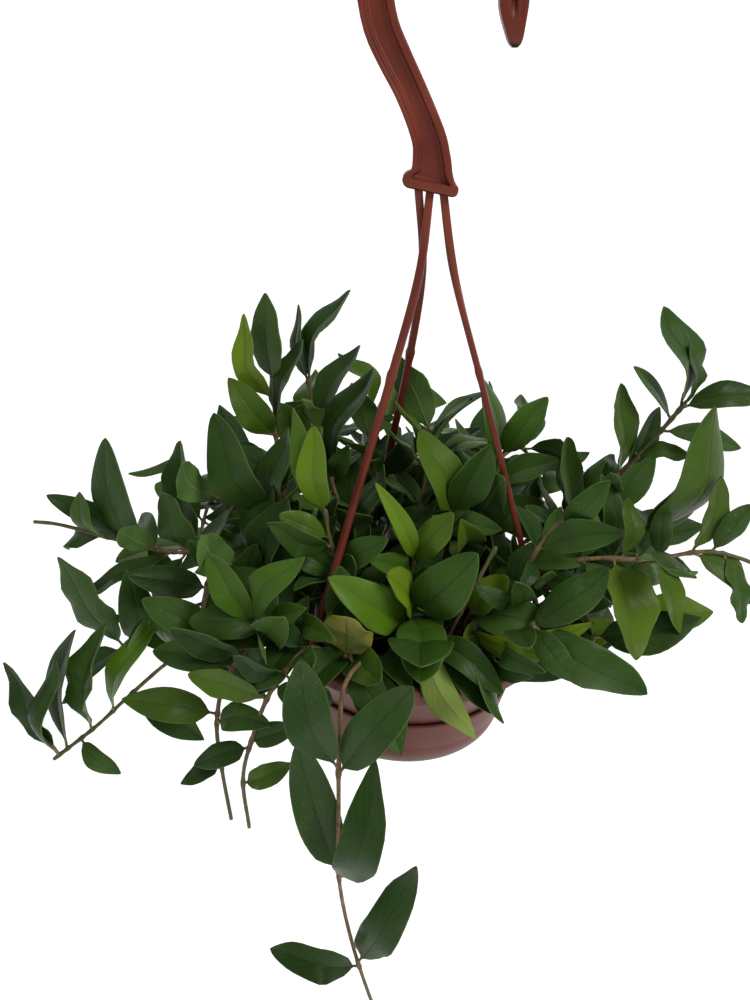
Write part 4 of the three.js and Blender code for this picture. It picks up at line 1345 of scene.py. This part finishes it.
class PlantHangerSettings(PropertyGroup):
    """Sizes of the hook and its arms"""

    bend_radius: length("Bend Radius", "Radius of the hook's bend, to its middle line", 0.029)
    web: length("Web", "Thickness of the web between the hook's flanges", 0.0034)
    flange: length("Flange", "Width of the hook's flanges", 0.0033)
    edge_radius: length("Edge Radius", "Softness of the hook's edges", 0.0009)
    foot_lean: FloatProperty(
        name="Foot Lean", description="How far the foot drops towards its right", default=0.14,
    )
    arm_width: length("Arm Width", "Width of an arm", 0.0038)
    arm_thick: length("Arm Thickness", "Thickness of an arm", 0.003)
    dark: colour("Dark Colour", "Deeper colour of the hanger", (0.125, 0.023, 0.0125))
    light: colour("Light Colour", "Lighter colour of the hanger", (0.19, 0.037, 0.02))


class PlantShootSettings(PropertyGroup):
    """How the shoots grow"""

    seed: FloatProperty(name="Seed", description="Changes the small differences between leaves", default=0.0)
    stem_radius: length("Stem Radius", "Radius of a stem where it leaves the mix", 0.0012)
    joint_swell: length("Joint Swelling", "How much a joint adds to a stem's radius", 0.0005)
    fill_spacing: length("Fill Spacing", "Length of stem between the smaller leaves low on a shoot", 0.036)
    spacing: length("Spacing", "Length of stem between two pairs of leaves", 0.028)
    leaf_dark: colour("Leaf Dark", "Deeper colour of a grown leaf", (0.014, 0.042, 0.004))
    leaf_light: colour("Leaf Light", "Lighter colour of a grown leaf", (0.044, 0.1, 0.012))
    stem_dark: colour("Stem Dark", "Deeper colour of the bark", (0.115, 0.07, 0.032))
    stem_light: colour("Stem Light", "Lighter colour of the bark", (0.25, 0.165, 0.082))


class PlantStageSettings(PropertyGroup):
    """Camera, lights and backdrop"""

    lens: FloatProperty(name="Lens", description="Focal length in millimetres", default=32.4)
    camera_place: FloatVectorProperty(
        name="Camera", description="Where the camera stands", default=(-0.0214, -0.4284, 0.323),
        subtype="TRANSLATION",
    )
    pitch: FloatProperty(
        name="Pitch", description="How far the camera looks down", default=math.radians(24), subtype="ANGLE",
    )
    roll: FloatProperty(
        name="Roll", description="How far the camera leans over", default=math.radians(3.5), subtype="ANGLE",
    )
    floor_drop: length("Floor Drop", "Distance from the lowest leaf to the floor", 0.4)
    floor_depth: length("Floor Depth", "Distance from the plant to the upright part of the backdrop", 3)
    sweep_radius: length("Sweep Radius", "Radius between the floor and the upright part of the backdrop", 1)
    sky: FloatProperty(name="Sky", description="Strength of the even light from all round", default=0.38)
    key: FloatProperty(name="Key", description="Power of the main light in watts", default=13)
    fill: FloatProperty(name="Fill", description="Power of the fill light in watts", default=1)


# ---- operators ----------------------------------------------------------------------------------

class PLANT_OT_bowl(Operator):
    """Build the bowl"""

    bl_idname = "plant.bowl"
    bl_label = "Bowl"

    def execute(self, context):
        settings = context.scene.plant_pot
        make_pot(settings, kept(bowl_skin, settings))
        return {"FINISHED"}


class PLANT_OT_saucer(Operator):
    """Build the saucer that clips under the bowl"""

    bl_idname = "plant.saucer"
    bl_label = "Saucer"

    def execute(self, context):
        settings = context.scene.plant_pot
        make_saucer(settings, kept(bowl_skin, settings))
        return {"FINISHED"}


class PLANT_OT_mix(Operator):
    """Build the bed of potting mix and its bark chips"""

    bl_idname = "plant.mix"
    bl_label = "Potting Mix"

    def execute(self, context):
        settings = context.scene.plant_pot
        make_mix(settings, kept(mix_skin, settings), kept(bark_skin))
        return {"FINISHED"}


class PLANT_OT_hook(Operator):
    """Build the hanger's hook"""

    bl_idname = "plant.hook"
    bl_label = "Hook"

    def execute(self, context):
        settings = context.scene.plant_hanger
        make_hook(settings, kept(hanger_skin, settings))
        return {"FINISHED"}


class PLANT_OT_arms(Operator):
    """Build the hanger's three arms"""

    bl_idname = "plant.arms"
    bl_label = "Arms"

    def execute(self, context):
        settings = context.scene.plant_hanger
        for name in ARM_ANGLES:
            make_arm(name, settings, kept(hanger_skin, settings))
        return {"FINISHED"}


class PLANT_OT_shoots(Operator):
    """Build the leafy shoots"""

    bl_idname = "plant.shoots"
    bl_label = "Shoots"

    def execute(self, context):
        settings = context.scene.plant_shoots
        make_shoots(settings)
        return {"FINISHED"}


class PLANT_OT_old_stems(Operator):
    """Build the bare stems"""

    bl_idname = "plant.old_stems"
    bl_label = "Bare Stems"

    def execute(self, context):
        settings = context.scene.plant_shoots
        make_old_stems(settings)
        return {"FINISHED"}


class PLANT_OT_stage(Operator):
    """Build the backdrop, the lights and the camera"""

    bl_idname = "plant.stage"
    bl_label = "Stage"

    def execute(self, context):
        scene = context.scene
        settings = scene.plant_stage
        make_backdrop(settings)
        make_camera(settings)
        make_world(settings.sky)
        add_light("key", (0.75, -0.7, 1.25), (0, 0, 0.1), 0.7, settings.key, (1, 0.985, 0.96))
        add_light("fill", (-1.1, -0.6, 0.5), (0, 0, 0.05), 0.9, settings.fill, (0.95, 0.98, 1))
        scene.view_settings.view_transform = "Standard"
        return {"FINISHED"}


BUILD_ORDER = (
    PLANT_OT_bowl, PLANT_OT_saucer, PLANT_OT_mix, PLANT_OT_hook, PLANT_OT_arms, PLANT_OT_shoots,
    PLANT_OT_old_stems, PLANT_OT_stage,
)
SETTINGS = {
    "plant_pot": PlantPotSettings,
    "plant_hanger": PlantHangerSettings,
    "plant_shoots": PlantShootSettings,
    "plant_stage": PlantStageSettings,
}


class PLANT_PT_sidebar(Panel):
    """Lists the steps that build the plant"""

    bl_idname = "PLANT_PT_sidebar"
    bl_label = "Lipstick Plant"
    bl_space_type = "VIEW_3D"
    bl_region_type = "UI"
    bl_category = "Plant"

    def draw(self, context):
        for operator in BUILD_ORDER:
            self.layout.operator(operator.bl_idname)
        for holder, group in SETTINGS.items():
            box = self.layout.box()
            for name in group.__annotations__:
                box.prop(getattr(context.scene, holder), name)


CLASSES = (*SETTINGS.values(), *BUILD_ORDER, PLANT_PT_sidebar)


def register():
    for cls in CLASSES:
        bpy.utils.register_class(cls)
    for holder, group in SETTINGS.items():
        setattr(bpy.types.Scene, holder, PointerProperty(type=group))


def unregister():
    for holder in SETTINGS:
        delattr(bpy.types.Scene, holder)
    for cls in reversed(CLASSES):
        bpy.utils.unregister_class(cls)


def main():
    register()
    for operator in BUILD_ORDER:
        group, name = operator.bl_idname.split(".")
        getattr(getattr(bpy.ops, group), name)()


if __name__ == "__main__":
    main()
